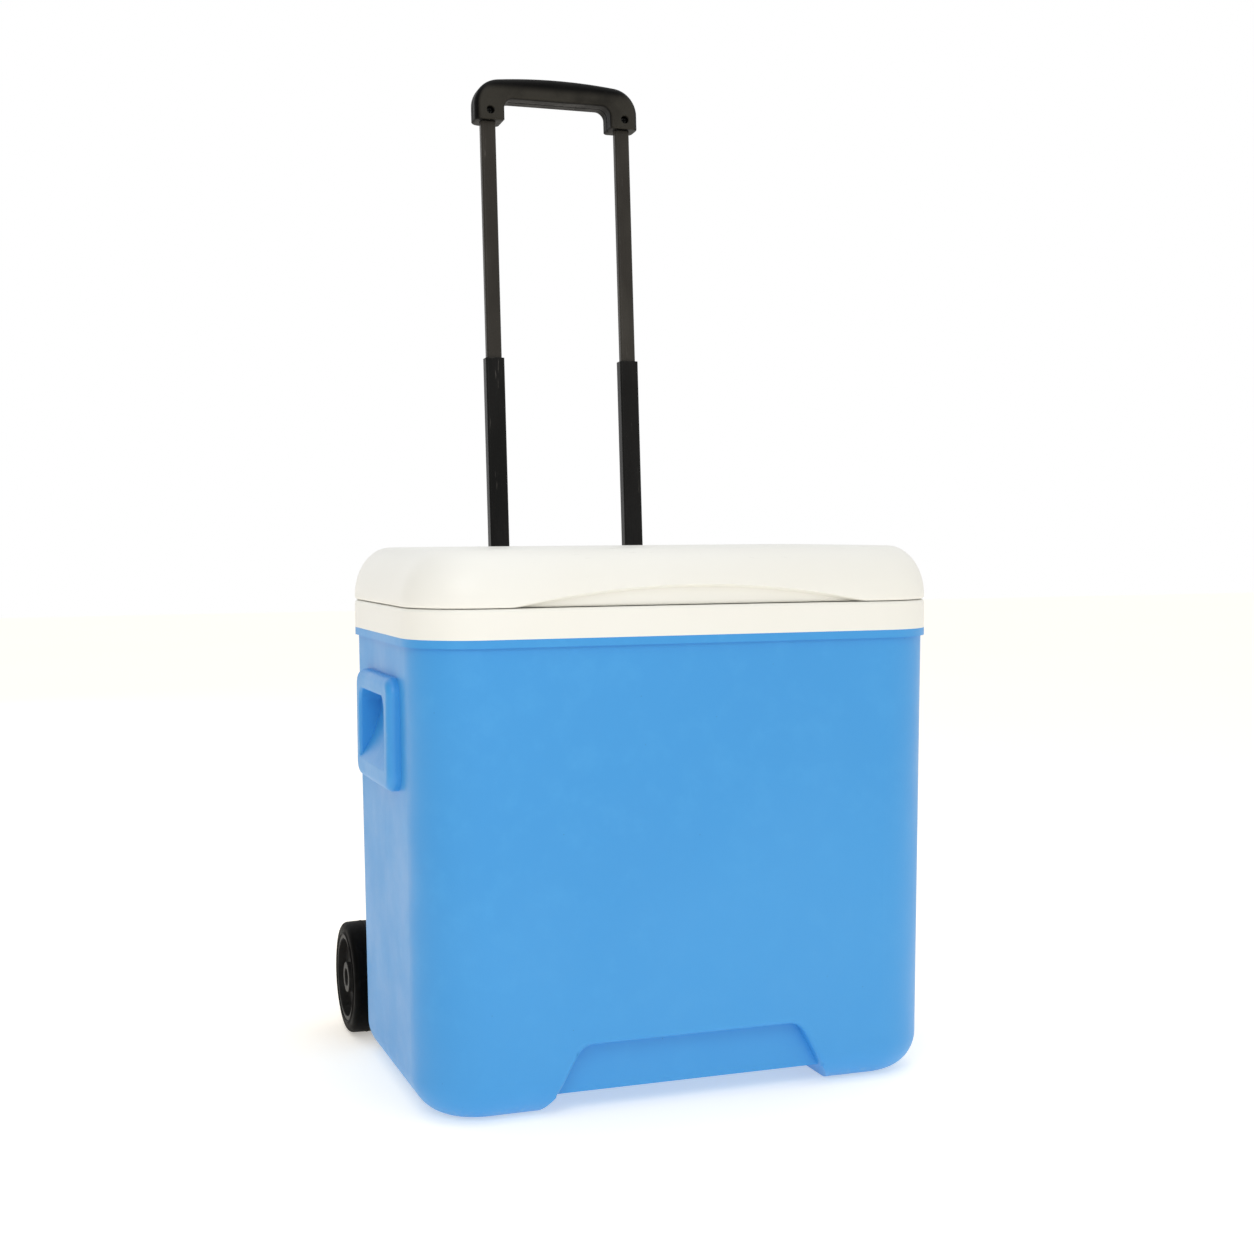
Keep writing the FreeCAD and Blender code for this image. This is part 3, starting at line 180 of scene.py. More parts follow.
# %% Finish kit
class Finish:
    """A material being built; each step adds one node and hands back its output socket."""

    def __init__(self, name, roughness=0.5, metallic=0.0):
        self.material = bpy.data.materials.new(name)
        self.material.use_nodes = True
        self.tree = self.material.node_tree
        self.skin = self.tree.nodes["Principled BSDF"]
        self.skin.inputs["Roughness"].default_value = roughness
        self.skin.inputs["Metallic"].default_value = metallic
        self.coords = self.tree.nodes.new("ShaderNodeTexCoord").outputs["Object"]

    def step(self, kind, inputs, out=0, **settings):
        made = self.tree.nodes.new("ShaderNode" + kind)
        for key, value in settings.items():
            setattr(made, key, value)
        for key, value in inputs.items():
            if isinstance(value, bpy.types.NodeSocket):
                self.tree.links.new(value, made.inputs[key])
            else:
                made.inputs[key].default_value = value
        return made.outputs[out]

    def stretched(self, x, y, z):
        """The object's coordinates scaled per axis, to draw a pattern out along one of them."""
        return self.step("Mapping", {"Vector": self.coords, "Scale": (x, y, z)})

    def noise(self, scale, detail=3.0, rough=0.5, where=None, warp=0.0):
        return self.step("TexNoise", {"Vector": where or self.coords, "Scale": scale, "Detail": detail,
                                      "Roughness": rough, "Distortion": warp})

    def cells(self, scale, feature="F1", where=None):
        return self.step("TexVoronoi", {"Vector": where or self.coords, "Scale": scale}, feature=feature)

    def band(self, value, low, high, start=0.0, end=1.0):
        """Clamped smooth step: start below low, end above high."""
        return self.step("MapRange", {"Value": value, "From Min": low, "From Max": high,
                                      "To Min": start, "To Max": end}, interpolation_type="SMOOTHSTEP")

    def sum(self, operation, first, second=0.0):
        return self.step("Math", {0: first, 1: second}, operation=operation)

    def axis(self, name):
        return self.step("SeparateXYZ", {"Vector": self.coords}, out=name)

    def blend(self, factor, first, second):
        """Colour mix of two colours or colour outputs."""
        made = self.tree.nodes.new("ShaderNodeMix")
        made.data_type = "RGBA"
        for key, value in ((0, factor), (6, first), (7, second)):
            if isinstance(value, bpy.types.NodeSocket):
                self.tree.links.new(value, made.inputs[key])
            else:
                made.inputs[key].default_value = value if key == 0 else (*value, 1.0)
        return made.outputs[2]

    def relief(self, height, depth, strength=1.0, under=None):
        """Bump of a height that runs 0 to 1 over depth metres."""
        inputs = {"Height": height, "Distance": depth, "Strength": strength}
        if under:
            inputs["Normal"] = under
        return self.step("Bump", inputs)

    def wear(self, **sockets):
        """Feeds outputs into the surface, by socket name with underscores for spaces."""
        for key, value in sockets.items():
            self.tree.links.new(value, self.skin.inputs[key.replace("_", " ")])
        return self.material


print("finish kit ready")

# %% [markdown]
# ## Blue shell
# The shell is blow-moulded polyethylene: a slightly cloudy blue with the fine pebble grain of the mould.
# Broad noise drifts the pigment, two grain sizes make the pebble, a raised line marks where the mould's
# halves met in each side wall, and the feet and grip pads are rubbed where they touch the world.

# %% Blue shell
collar_low, collar_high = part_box("inner_liner")
shell_mid_y = (collar_low.y + collar_high.y) / 2


def blue_shell():
    made = Finish("blue_shell")
    cloud = made.noise(2.6, 2.0, 0.4)
    mottle = made.noise(38.0, 4.0, 0.6)
    colour = made.blend(made.band(cloud, 0.35, 0.65), (0.044, 0.322, 0.742), (0.053, 0.346, 0.772))
    colour = made.blend(made.band(mottle, 0.45, 0.75, 0.0, 0.35), colour, (0.062, 0.37, 0.79))
    height = made.axis("Z")
    across = made.sum("ABSOLUTE", made.axis("X"))
    scuff = made.noise(210.0, 5.0, 0.7, made.stretched(1.0, 1.0, 0.25))
    foot = made.sum("MULTIPLY", made.band(height, 0.014, 0.001), made.band(scuff, 0.5, 0.62))
    pad = made.sum("MULTIPLY", made.band(across, 0.2354, 0.2369), made.band(scuff, 0.56, 0.7, 0.0, 0.5))
    wear_and_painted_light = made.sum("MAXIMUM", foot, pad)
    colour = made.blend(wear_and_painted_light, colour, (0.19, 0.44, 0.74))
    speck = made.band(made.cells(46.0), 0.022, 0.012, 0.0, 0.55)
    colour = made.blend(speck, colour, (0.02, 0.12, 0.3))
    pebble = made.cells(620.0, "SMOOTH_F1")
    grain = made.noise(980.0, 3.0, 0.6)
    skin = made.sum("ADD", made.sum("MULTIPLY", pebble, 0.7), grain)
    gloss = made.band(made.noise(14.0, 5.0, 0.65), 0.3, 0.7, 0.36, 0.47)
    gloss = made.sum("ADD", gloss, made.sum("MULTIPLY", wear_and_painted_light, 0.15))
    wave = made.relief(made.noise(9.0, 1.0, 0.4), 0.0012, 0.35)
    normal = made.relief(skin, 0.00011, 0.55, wave)
    offset = made.sum("ABSOLUTE", made.sum("SUBTRACT", made.axis("Y"), shell_mid_y))
    seam = made.sum("MULTIPLY", made.band(offset, 0.0006, 0.0002), made.band(across, 0.19, 0.2))
    normal = made.relief(seam, 0.0003, 0.8, normal)
    return made.wear(Base_Color=colour, Roughness=gloss, Normal=normal)


finishes = {"blue_shell": blue_shell()}
print("blue shell")

# %% [markdown]
# ## White lid and liner
# The lid and liner are injection-moulded in a warm off-white. Their grain is finer than the shell's, and
# a very soft cloudiness with a few hairline scuffs keeps the large faces from looking like paper.

# %% White plastic
def white_plastic():
    made = Finish("white_plastic")
    cloud = made.noise(4.0, 3.0, 0.5)
    colour = made.blend(made.band(cloud, 0.35, 0.65), (0.885, 0.878, 0.822), (0.905, 0.902, 0.855))
    hair = made.noise(60.0, 4.0, 0.6, made.stretched(1.0, 7.0, 1.0), 0.6)
    crown_only = made.band(made.axis("Z"), 0.44, 0.455)
    scuff = made.sum("MULTIPLY", made.band(hair, 0.655, 0.69, 0.0, 0.5), crown_only)
    colour = made.blend(scuff, colour, (0.76, 0.75, 0.71))
    pebble = made.sum("MULTIPLY", made.cells(760.0, "SMOOTH_F1"), 0.5)
    grain = made.sum("ADD", made.noise(1250.0, 2.0, 0.6), pebble)
    gloss = made.band(made.noise(11.0, 5.0, 0.6), 0.3, 0.7, 0.36, 0.46)
    wave = made.relief(made.noise(7.0, 1.0, 0.4), 0.001, 0.3)
    normal = made.relief(grain, 0.00006, 0.5, wave)
    return made.wear(Base_Color=colour, Roughness=gloss, Normal=normal)


finishes["white_plastic"] = white_plastic()
print("white plastic")

# %% [markdown]
# ## Black plastics
# The grip, brackets, bushings and wheel spacers are black polypropylene. Black shows its gloss more than
# its colour, so the work is in the roughness: grain in the recesses and dusty brackets. The grip bar's front
# also gets a painted lighter band where light falls on it.

# %% Black plastics
def dark_plastic(name, tone, gloss_range, grain_scale, dust, specular, wear_and_painted_light=None):
    """Black moulding; the last argument, when given, adds painted light: a lighter patch on the front where light
    falls, as (front of it, back of it, its top, fade above).
    """
    made = Finish(name)
    drift = made.noise(30.0, 4.0, 0.6)
    dull = (tone, tone, tone * 0.96)
    pale = (tone * 1.7, tone * 1.65, tone * 1.55)
    colour = made.blend(made.band(drift, 0.35, 0.7), dull, pale)
    # Painted light: the lower part of the bar's front face is painted a lighter brownish black where light falls
    # on it, while the rounded top stays dark.
    if wear_and_painted_light:
        front, back, top, fade = wear_and_painted_light
        leaned = made.sum("MULTIPLY", made.axis("Z"), LEAN_SLOPE)
        facing = made.band(made.sum("SUBTRACT", made.axis("Y"), leaned), back, front)
        painted_front_light = made.sum("MULTIPLY", facing, made.band(made.axis("Z"), top + fade, top))
        painted_front_light = made.sum("MULTIPLY", painted_front_light, made.band(made.noise(34.0, 3.0, 0.5), 0.3, 0.6, 0.55, 1.0))
        colour = made.blend(painted_front_light, colour, (0.036, 0.0335, 0.028))
    powder = made.band(made.noise(240.0, 6.0, 0.7), 0.52, 0.72, 0.0, dust)
    colour = made.blend(powder, colour, (0.16, 0.15, 0.135))
    gloss = made.band(made.noise(55.0, 5.0, 0.65), 0.3, 0.7, *gloss_range)
    gloss = made.sum("ADD", gloss, made.sum("MULTIPLY", powder, 0.3))
    grain = made.sum("ADD", made.noise(grain_scale, 3.0, 0.6), made.cells(grain_scale * 0.6, "SMOOTH_F1"))
    normal = made.relief(grain, 0.00009, 0.6)
    made.skin.inputs["Specular IOR Level"].default_value = specular
    return made.wear(Base_Color=colour, Roughness=gloss, Normal=normal)


slide_axis = next(joint for joint in frame["joints"] if joint["name"] == "upper_stage_slide")["axis"]
LEAN_SLOPE = slide_axis[1] / slide_axis[2]
front_low, front_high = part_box("grip_front")
front_plane = front_low.y - LEAN_SLOPE * front_low.z
# Where the grip bar's painted light band sits: its front below the top is painted lighter, where light falls.
bar_shade = (front_plane + 0.0005, front_plane + 0.003, front_high.z - 0.016, 0.008)
finishes["grip_plastic"] = dark_plastic("grip_plastic", 0.0025, (0.36, 0.5), 900.0, 0.03, 0.06, bar_shade)
finishes["black_plastic"] = dark_plastic("black_plastic", 0.008, (0.42, 0.56), 700.0, 0.15, 0.15)
finishes["hub_grey"] = dark_plastic("hub_grey", 0.013, (0.40, 0.52), 800.0, 0.06, 0.13)
print("black plastics")

# %% [markdown]
# ## Tyres, tubes, screws and the hidden fillings
# Tyres are matt black with a painted highlight ring where they meet the hub, the tubes carry drawn-out lines
# along their length from extrusion, and screws have a turned grain, bright zinc everywhere but blackened in
# the grip. The foam and nylon inside still get a finish of their own.

# %% Rubber
def tyre_rubber():
    made = Finish("tyre")
    drift = made.noise(45.0, 5.0, 0.6)
    colour = made.blend(made.band(drift, 0.3, 0.7), (0.0009, 0.0009, 0.0009), (0.0018, 0.0018, 0.0017))
    radius_y = made.sum("SUBTRACT", made.axis("Y"), wheel_centre.y)
    radius_z = made.sum("SUBTRACT", made.axis("Z"), wheel_centre.z)
    radius = made.sum("SQRT", made.sum("ADD", made.sum("MULTIPLY", radius_y, radius_y),
                                       made.sum("MULTIPLY", radius_z, radius_z)))
    tread = made.band(radius, 0.0485, 0.0515)
    powder = made.band(made.noise(160.0, 6.0, 0.75), 0.45, 0.72, 0.0, 0.06)
    colour = made.blend(made.sum("MULTIPLY", tread, powder), colour, (0.05, 0.046, 0.04))
    # Painted highlight: a thin paler ring on the sidewall where it meets the hub, standing in for light on the
    # bead.
    painted_ring_highlight = made.sum("MULTIPLY", made.band(radius, 0.0398, 0.0402), made.band(radius, 0.0412, 0.0407))
    colour = made.blend(painted_ring_highlight, colour, (0.03, 0.03, 0.029))
    gloss = made.band(made.noise(70.0, 5.0, 0.6), 0.3, 0.7, 0.46, 0.62)
    grain = made.noise(1100.0, 3.0, 0.65)
    normal = made.relief(grain, 0.00012, 0.7)
    made.skin.inputs["Specular IOR Level"].default_value = 0.04
    return made.wear(Base_Color=colour, Roughness=gloss, Normal=normal)


wheel_low, wheel_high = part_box("left_tyre")
wheel_centre = (wheel_low + wheel_high) / 2
finishes["tyre"] = tyre_rubber()
print("tyre", [round(v, 4) for v in wheel_centre])


# %% Tubes
def tube_metal(name, dark, light, gloss_range, specular):
    made = Finish(name, metallic=0.0)
    streak = made.noise(420.0, 5.0, 0.6, made.stretched(1.0, 1.0, 0.012))
    patch = made.noise(16.0, 3.0, 0.6, made.stretched(1.0, 1.0, 0.4))
    colour = made.blend(made.band(patch, 0.35, 0.65), dark, light)
    worn = made.band(made.noise(300.0, 4.0, 0.6, made.stretched(1.0, 1.0, 0.03)), 0.66, 0.74, 0.0, 0.5)
    colour = made.blend(worn, colour, (0.13, 0.12, 0.11))
    gloss = made.band(streak, 0.3, 0.7, *gloss_range)
    normal = made.relief(streak, 0.00005, 0.5)
    made.skin.inputs["Specular IOR Level"].default_value = specular
    return made.wear(Base_Color=colour, Roughness=gloss, Normal=normal)


finishes["black_tube"] = tube_metal("black_tube", (0.010, 0.010, 0.0095), (0.017, 0.0165, 0.016),
                                    (0.24, 0.36), 0.06)
upper_tube_finish = tube_metal("upper_tube", (0.034, 0.031, 0.027), (0.052, 0.048, 0.042),
                               (0.24, 0.36), 0.08)
print("tubes")


# %% Zinc, nylon and foam
def screw_steel(name, dark, light):
    made = Finish(name, metallic=1.0)
    grain = made.noise(900.0, 4.0, 0.6, made.stretched(1.0, 0.2, 1.0))
    colour = made.blend(made.band(grain, 0.35, 0.65), dark, light)
    gloss = made.band(made.noise(260.0, 4.0, 0.6), 0.3, 0.7, 0.26, 0.44)
    return made.wear(Base_Color=colour, Roughness=gloss, Normal=made.relief(grain, 0.00004, 0.5))


def glide_nylon():
    made = Finish("glide_nylon")
    drift = made.noise(120.0, 4.0, 0.6)
    colour = made.blend(made.band(drift, 0.35, 0.65), (0.70, 0.69, 0.64), (0.78, 0.77, 0.73))
    gloss = made.band(drift, 0.3, 0.7, 0.42, 0.55)
    return made.wear(Base_Color=colour, Roughness=gloss, Normal=made.relief(made.noise(1500.0), 0.00005, 0.5))


def foam():
    made = Finish("foam")
    bubble = made.cells(420.0)
    colour = made.blend(made.band(bubble, 0.2, 0.8), (0.66, 0.56, 0.34), (0.86, 0.78, 0.56))
    gloss = made.band(bubble, 0.2, 0.8, 0.8, 0.95)
    return made.wear(Base_Color=colour, Roughness=gloss, Normal=made.relief(bubble, 0.0005, 0.8))


finishes["zinc_steel"] = screw_steel("zinc_steel", (0.50, 0.51, 0.52), (0.66, 0.67, 0.68))
finishes["black_steel"] = screw_steel("black_steel", (0.012, 0.012, 0.012), (0.03, 0.03, 0.029))
finishes["glide_nylon"] = glide_nylon()
finishes["foam"] = foam()
print("finishes", sorted(finishes))


# %% Floor finish
def studio_white():
    made = Finish("studio_white", roughness=0.9)
    drift = made.noise(1.4, 2.0, 0.4)
    colour = made.blend(made.band(drift, 0.3, 0.7), (0.93, 0.885, 0.81), (0.94, 0.895, 0.82))
    made.skin.inputs["Specular IOR Level"].default_value = 0.1
    made.skin.inputs["Emission Color"].default_value = (1.0, 0.96, 0.90, 1.0)
    made.skin.inputs["Emission Strength"].default_value = 0.42
    return made.wear(Base_Color=colour)


floor_mesh.materials.append(studio_white())
print("floor finish")

# %% [markdown]
# ## Surfaces from numpy
# A moulded part is easiest to describe as a profile carried round an outline. Both are arrays here, so
# one line of arithmetic places every vertex, and the helper below only has to join up the grid.

# %% Grid to mesh
def smooth_step(value):
    """0 below 0, 1 above 1, and 3t^2 - 2t^3 in between."""
    t = np.clip(value, 0.0, 1.0)
    return t * t * (3.0 - 2.0 * t)


def grid_faces(rows, columns, wrap_rows=False, wrap_columns=True):
    """Quads between neighbouring rows and columns of a grid numbered row by row."""
    low = np.arange(rows if wrap_rows else rows - 1)
    left = np.arange(columns if wrap_columns else columns - 1)
    row, column = np.meshgrid(low, left, indexing="ij")
    next_row = (row + 1) % rows
    next_column = (column + 1) % columns
    quads = np.stack([row * columns + column, row * columns + next_column,
                      next_row * columns + next_column, next_row * columns + column], axis=-1)
    return quads.reshape(-1, 4)


def build(name, points, faces, finish, body, stands_for, sharp=40.0):
    """One mesh piece from points and faces, turned outwards; it hides the CAD nodes it stands for."""
    mesh = bpy.data.meshes.new(name)
    mesh.from_pydata(np.asarray(points, float).reshape(-1, 3).tolist(), [], [list(face) for face in faces])
    piece = bpy.data.objects.new(name, mesh)
    scene.collection.objects.link(piece)
    work = bmesh.new()
    work.from_mesh(mesh)
    bmesh.ops.remove_doubles(work, verts=work.verts, dist=1e-6)
    bmesh.ops.delete(work, geom=[vertex for vertex in work.verts if not vertex.link_faces], context="VERTS")
    bmesh.ops.recalc_face_normals(work, faces=work.faces)
    work.to_mesh(mesh)
    work.free()
    mesh.shade_smooth()
    mesh.set_sharp_from_angle(angle=math.radians(sharp))
    mesh.materials.append(finish)
    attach(piece, body)
    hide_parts(*stands_for)
    print(name, len(mesh.vertices), "vertices")
    return piece


# %% [markdown]
# ## Lid
# The lid is one deep tray turned over: a tall soft shoulder, a slightly crowned top, and a shallow finger
# recess under a long arch in front. The shoulder is a quarter ellipse, carried round the lid's outline by
# moving each station in along its own normal. The recess presses the front wall in under the arch, with
# a soft step for its edge. The hinges sit in two pockets that are left open in the rear edge.

# %% Lid outline
lid_low, lid_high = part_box("lid_shell")
lid_half = (lid_high - lid_low) / 2
lid_centre = (lid_high + lid_low) / 2
FRONT_CORNER = 0.057
REAR_CORNER = 0.050


def outline_stations(half_x, half_y, front_spacing, spacing, corner_steps, rear_marks):
    """Points and outward normals round a rounded rectangle, from the front's right end, clockwise from above.

    Straight runs are evenly spaced and each corner is a quarter circle: centre + r (cos a, sin a)."""
    def run(start, end, gap, marks=()):
        count = max(2, int(round(abs(end - start) / gap)))
        return np.unique(np.concatenate([np.linspace(start, end, count + 1), marks])) if end > start else \
            np.unique(np.concatenate([np.linspace(end, start, count + 1), marks]))[::-1]

    def corner(centre_x, centre_y, radius, first, last):
        angle = np.radians(np.linspace(first, last, corner_steps + 1))[1:-1]
        return (np.stack([centre_x + radius * np.cos(angle), centre_y + radius * np.sin(angle)], 1),
                np.stack([np.cos(angle), np.sin(angle)], 1))

    front_x = run(half_x - FRONT_CORNER, FRONT_CORNER - half_x, front_spacing)
    left_y = run(FRONT_CORNER - half_y, half_y - REAR_CORNER, spacing)
    rear_x = run(REAR_CORNER - half_x, half_x - REAR_CORNER, spacing, rear_marks)
    right_y = left_y[::-1]
    parts = [
        (np.stack([front_x, np.full_like(front_x, -half_y)], 1), np.tile([0.0, -1.0], (len(front_x), 1))),
        corner(FRONT_CORNER - half_x, FRONT_CORNER - half_y, FRONT_CORNER, 270, 180),
        (np.stack([np.full_like(left_y, -half_x), left_y], 1), np.tile([-1.0, 0.0], (len(left_y), 1))),
        corner(REAR_CORNER - half_x, half_y - REAR_CORNER, REAR_CORNER, 180, 90),
        (np.stack([rear_x, np.full_like(rear_x, half_y)], 1), np.tile([0.0, 1.0], (len(rear_x), 1))),
        corner(half_x - REAR_CORNER, half_y - REAR_CORNER, REAR_CORNER, 90, 0),
        (np.stack([np.full_like(right_y, half_x), right_y], 1), np.tile([1.0, 0.0], (len(right_y), 1))),
        corner(half_x - FRONT_CORNER, FRONT_CORNER - half_y, FRONT_CORNER, 360, 270),
    ]
    return np.concatenate([part[0] for part in parts]), np.concatenate([part[1] for part in parts])


HINGE_GAP = 0.00015
hinge_low, hinge_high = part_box("right_lid_hinge")
pocket_marks = np.array([hinge_low.x - HINGE_GAP, hinge_high.x + HINGE_GAP])
pocket_marks = np.concatenate([pocket_marks, -pocket_marks])
lid_base, lid_normal = outline_stations(lid_half.x, lid_half.y, 0.002, 0.006, 14, pocket_marks)
print("lid stations", len(lid_base))

# %% Lid profile
SHOULDER_IN = 0.032
SHOULDER_RISE = 0.043
LOWER_EDGE = 0.0022
LID_WALL = 0.0024
CROWN = 0.0007
wall_top = lid_high.z - SHOULDER_RISE
edge_turn = np.radians(np.linspace(0, 90, 6))
edge_rise = LOWER_EDGE * SHOULDER_RISE / SHOULDER_IN
lower_sines = np.linspace(0.0, 0.4, 41)[1:]
upper_sines = np.sin(np.radians(np.linspace(25, 90, 20)))
shoulder_turn = np.arcsin(np.concatenate([lower_sines, upper_sines]))
profile_in = np.concatenate([LOWER_EDGE * (1 - np.sin(edge_turn)), SHOULDER_IN * (1 - np.cos(shoulder_turn))])
profile_z = np.concatenate([lid_low.z + edge_rise * (1 - np.cos(edge_turn)),
                            wall_top + (SHOULDER_RISE - CROWN) * np.sin(shoulder_turn)])
pocket_top = hinge_high.z + HINGE_GAP
place = int(np.argmin(np.abs(profile_z - pocket_top)))
profile_in[place] += (pocket_top - profile_z[place]) * 0.35
profile_z[place] = pocket_top
print("lid profile", len(profile_z), "points")

# %% Lid surface
ARCH_HALF = 0.1575
ARCH_RISE = 0.017
ARCH_DEPTH = 0.006
ARCH_SOFT = 0.0024
collar_top = collar_high.z
arch_radius = (ARCH_HALF ** 2 + ARCH_RISE ** 2) / (2 * ARCH_RISE)


def arch_press(x, z):
    """How far the recess presses the front wall in: full depth once a point is a soft step inside the arch.

    The arch is a circle through both ends and the crown; the step runs on the distance inside it."""
    inside = arch_radius - np.hypot(x, z - (collar_top + ARCH_RISE - arch_radius))
    return ARCH_DEPTH * smooth_step(inside / ARCH_SOFT)


def lid_surface():
    """Station minus inset times normal at each profile height, then rings that close over the crowned top."""
    inset = profile_in[:, None] + np.zeros(len(lid_base))
    height = profile_z[:, None] + np.zeros(len(lid_base))
    front = lid_normal[None, :, 1] < -0.999
    inset = inset + np.where(front, arch_press(lid_base[None, :, 0], height), 0.0)
    wall = np.stack([lid_base[:, 0] - inset * lid_normal[:, 0],
                     lid_base[:, 1] - inset * lid_normal[:, 1], height], -1)
    rim = wall[-1]
    share = np.array([0.05, 0.12, 0.25, 0.4, 0.55, 0.7, 0.84, 0.94])[:, None]
    top = np.empty((len(share), len(lid_base), 3))
    top[..., 0] = rim[:, 0] * (1 - share)
    top[..., 1] = rim[:, 1] * (1 - share)
    top[..., 2] = rim[:, 2] + CROWN * (1 - (1 - share) ** 2)
    rings = np.concatenate([wall, top])
    pole = np.array([[0.0, 0.0, lid_high.z]])
    points = np.concatenate([rings.reshape(-1, 3), pole])
    return points + np.array([lid_centre.x, lid_centre.y, 0.0]), len(rings)


def lid_faces(points, rows):
    """Grid quads without the hinge pockets, and a fan to the pole."""
    columns = len(lid_base)
    quads = grid_faces(rows, columns)
    middle = points[quads].mean(axis=1)
    behind = middle[:, 1] > lid_centre.y + lid_half.y - SHOULDER_IN
    hinge_x = (hinge_low.x + hinge_high.x) / 2
    beside = np.abs(np.abs(middle[:, 0]) - hinge_x) < (hinge_high.x - hinge_low.x) / 2
    pocket = behind & beside & (middle[:, 2] < pocket_top)
    last = (rows - 1) * columns + np.arange(columns)
    fan = np.stack([last, (rows - 1) * columns + (np.arange(columns) + 1) % columns,
                    np.full(columns, len(points) - 1)], 1)
    return quads[~pocket].tolist() + fan.tolist()


lid_points, lid_rows = lid_surface()
lid_cover = build("lid_cover", lid_points, lid_faces(lid_points, lid_rows), finishes["white_plastic"],
                  "lid", ["lid_shell"])
lid_wall = lid_cover.modifiers.new("wall", "SOLIDIFY")
lid_wall.thickness = LID_WALL
lid_wall.offset = -1.0
print("lid wall", LID_WALL)

# %% [markdown]
# ## Tyres
# A soft tread ring is a lathe job: one closed section turned about the axle. The tread is very slightly
# crowned, the shoulders are quarter ellipses, a bead stands up where the side meets the hub's ring, and
# a hair-thin rib round the middle marks where the mould closed.

# %% Tyre section and lathe
TURN_STEPS = 128


def tyre_section(half_width, radius):
    """Closed section as (along axle, distance from axle), from the inner bore round the tread and back."""
    shoulder = np.radians(np.linspace(0, 90, 9))
    tread = np.linspace(-1, 1, 41)[1:-1] * (half_width - 0.006)
    crown = radius - 0.0005 - 0.0007 * (tread / half_width) ** 2
    rib = 0.0004 * np.exp(-(tread / 0.0007) ** 2)
    side_r = np.array([0.0400, 0.0404, 0.0409, 0.0415, 0.0420, 0.0425, 0.0431, 0.0440, 0.0450])
    bead = np.array([0.0008, 0.0002, 0.0, 0.0, 0.0003, 0.0008, 0.0010, 0.0010, 0.0010])
    edge_r = crown[0] - 0.0055
    left = np.stack([-half_width + bead, side_r], 1)
    turn_left = np.stack([-half_width + 0.001 + 0.005 * (1 - np.cos(shoulder)),
                          edge_r + 0.0055 * np.sin(shoulder)], 1)
    across = np.stack([tread, crown + rib], 1)
    flip = np.array([-1.0, 1.0])
    section = np.concatenate([left, turn_left, across, turn_left[::-1] * flip, left[::-1] * flip])
    return section


def lathe(section, centre, steps):
    """Turns a section of (along X, radius) about the axle: (x, r cos a, r sin a)."""
    angle = 2 * np.pi * np.arange(steps) / steps
    along = section[:, None, 0] + np.zeros(steps)
    y = section[:, None, 1] * np.cos(angle)
    z = section[:, None, 1] * np.sin(angle)
    return np.stack([along, y, z], -1) + np.array(centre)


for side in ("left", "right"):
    tyre_low, tyre_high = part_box(side + "_tyre")
    tyre_centre = (tyre_low + tyre_high) / 2
    section = tyre_section((tyre_high.x - tyre_low.x) / 2, (tyre_high.z - tyre_low.z) / 2)
    points = lathe(section, tyre_centre, TURN_STEPS)
    build(side + "_tread", points, grid_faces(len(section), TURN_STEPS, wrap_rows=True).tolist(),
          finishes["tyre"], side + "_wheel", [side + "_tyre"], sharp=35.0)

# %% [markdown]
# ## Grip
# The grip is two half shells screwed together over the tube ends. Its body is a rounded box section
# carried along an arch: an outer and an inner edge are drawn, and each section is stretched between the
# two. A fine groove on the sides shows where the halves meet, and a deep well sinks each screw.

# %% Grip edges
grip_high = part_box("grip_front")[1]
grip_back_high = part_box("grip_back")[1]
tube_low, tube_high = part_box("right_upper_tube")
LEAN = math.atan2(slide_axis[1], slide_axis[2])
GRIP_DEPTH = 0.028
OUTER_CORNER = 0.026
INNER_CORNER = 0.009
BAR_UNDER = 0.0213
BAR_CROWN = 0.003
GRIP_RISE = 0.0443
OUTER_ROUND = 0.009
INNER_ROUND = 0.004
TUBE_X = (tube_low.x + tube_high.x) / 2
grip_out = grip_high.x
grip_in = 2 * TUBE_X - grip_out


def grip_edges():
    """Matching points along the arch's outer and inner edges as (x, rise above the posts' feet)."""
    flat = grip_out - OUTER_CORNER
    crown_r = (flat ** 2 + BAR_CROWN ** 2) / (2 * BAR_CROWN)
    crown_c = GRIP_RISE - crown_r
    corner_c = crown_c + math.sqrt((crown_r - OUTER_CORNER) ** 2 - flat ** 2)
    meet = math.atan2(corner_c - crown_c, flat)
    post = np.linspace(0, 1, 37)[:-1]
    bend = np.linspace(0, 1, 21)[:-1]
    bar = np.linspace(0, 0.5, 31)
    outer_post = np.stack([np.full_like(post, -grip_out), corner_c * post], 1)
    angle = np.pi - meet * bend
    outer_bend = np.stack([-flat + OUTER_CORNER * np.cos(angle), corner_c + OUTER_CORNER * np.sin(angle)], 1)
    angle = (np.pi - meet) + (meet - np.pi / 2) * bar / 0.5
    outer_bar = np.stack([crown_r * np.cos(angle), crown_c + crown_r * np.sin(angle)], 1)
    straight = BAR_UNDER - INNER_CORNER
    inner_post = np.stack([np.full_like(post, -grip_in), straight * post], 1)
    angle = np.pi - np.pi / 2 * bend
    inner_bend = np.stack([-grip_in + INNER_CORNER + INNER_CORNER * np.cos(angle),
                           straight + INNER_CORNER * np.sin(angle)], 1)
    inner_bar = np.stack([(-grip_in + INNER_CORNER) * (1 - bar / 0.5), np.full_like(bar, BAR_UNDER)], 1)
    outer = np.concatenate([outer_post, outer_bend, outer_bar])
    inner = np.concatenate([inner_post, inner_bend, inner_bar])
    flip = np.array([-1.0, 1.0])
    return (np.concatenate([outer, (outer[:-1] * flip)[::-1]]),
            np.concatenate([inner, (inner[:-1] * flip)[::-1]]))


outer_edge, inner_edge = grip_edges()
print("grip stations", len(outer_edge))


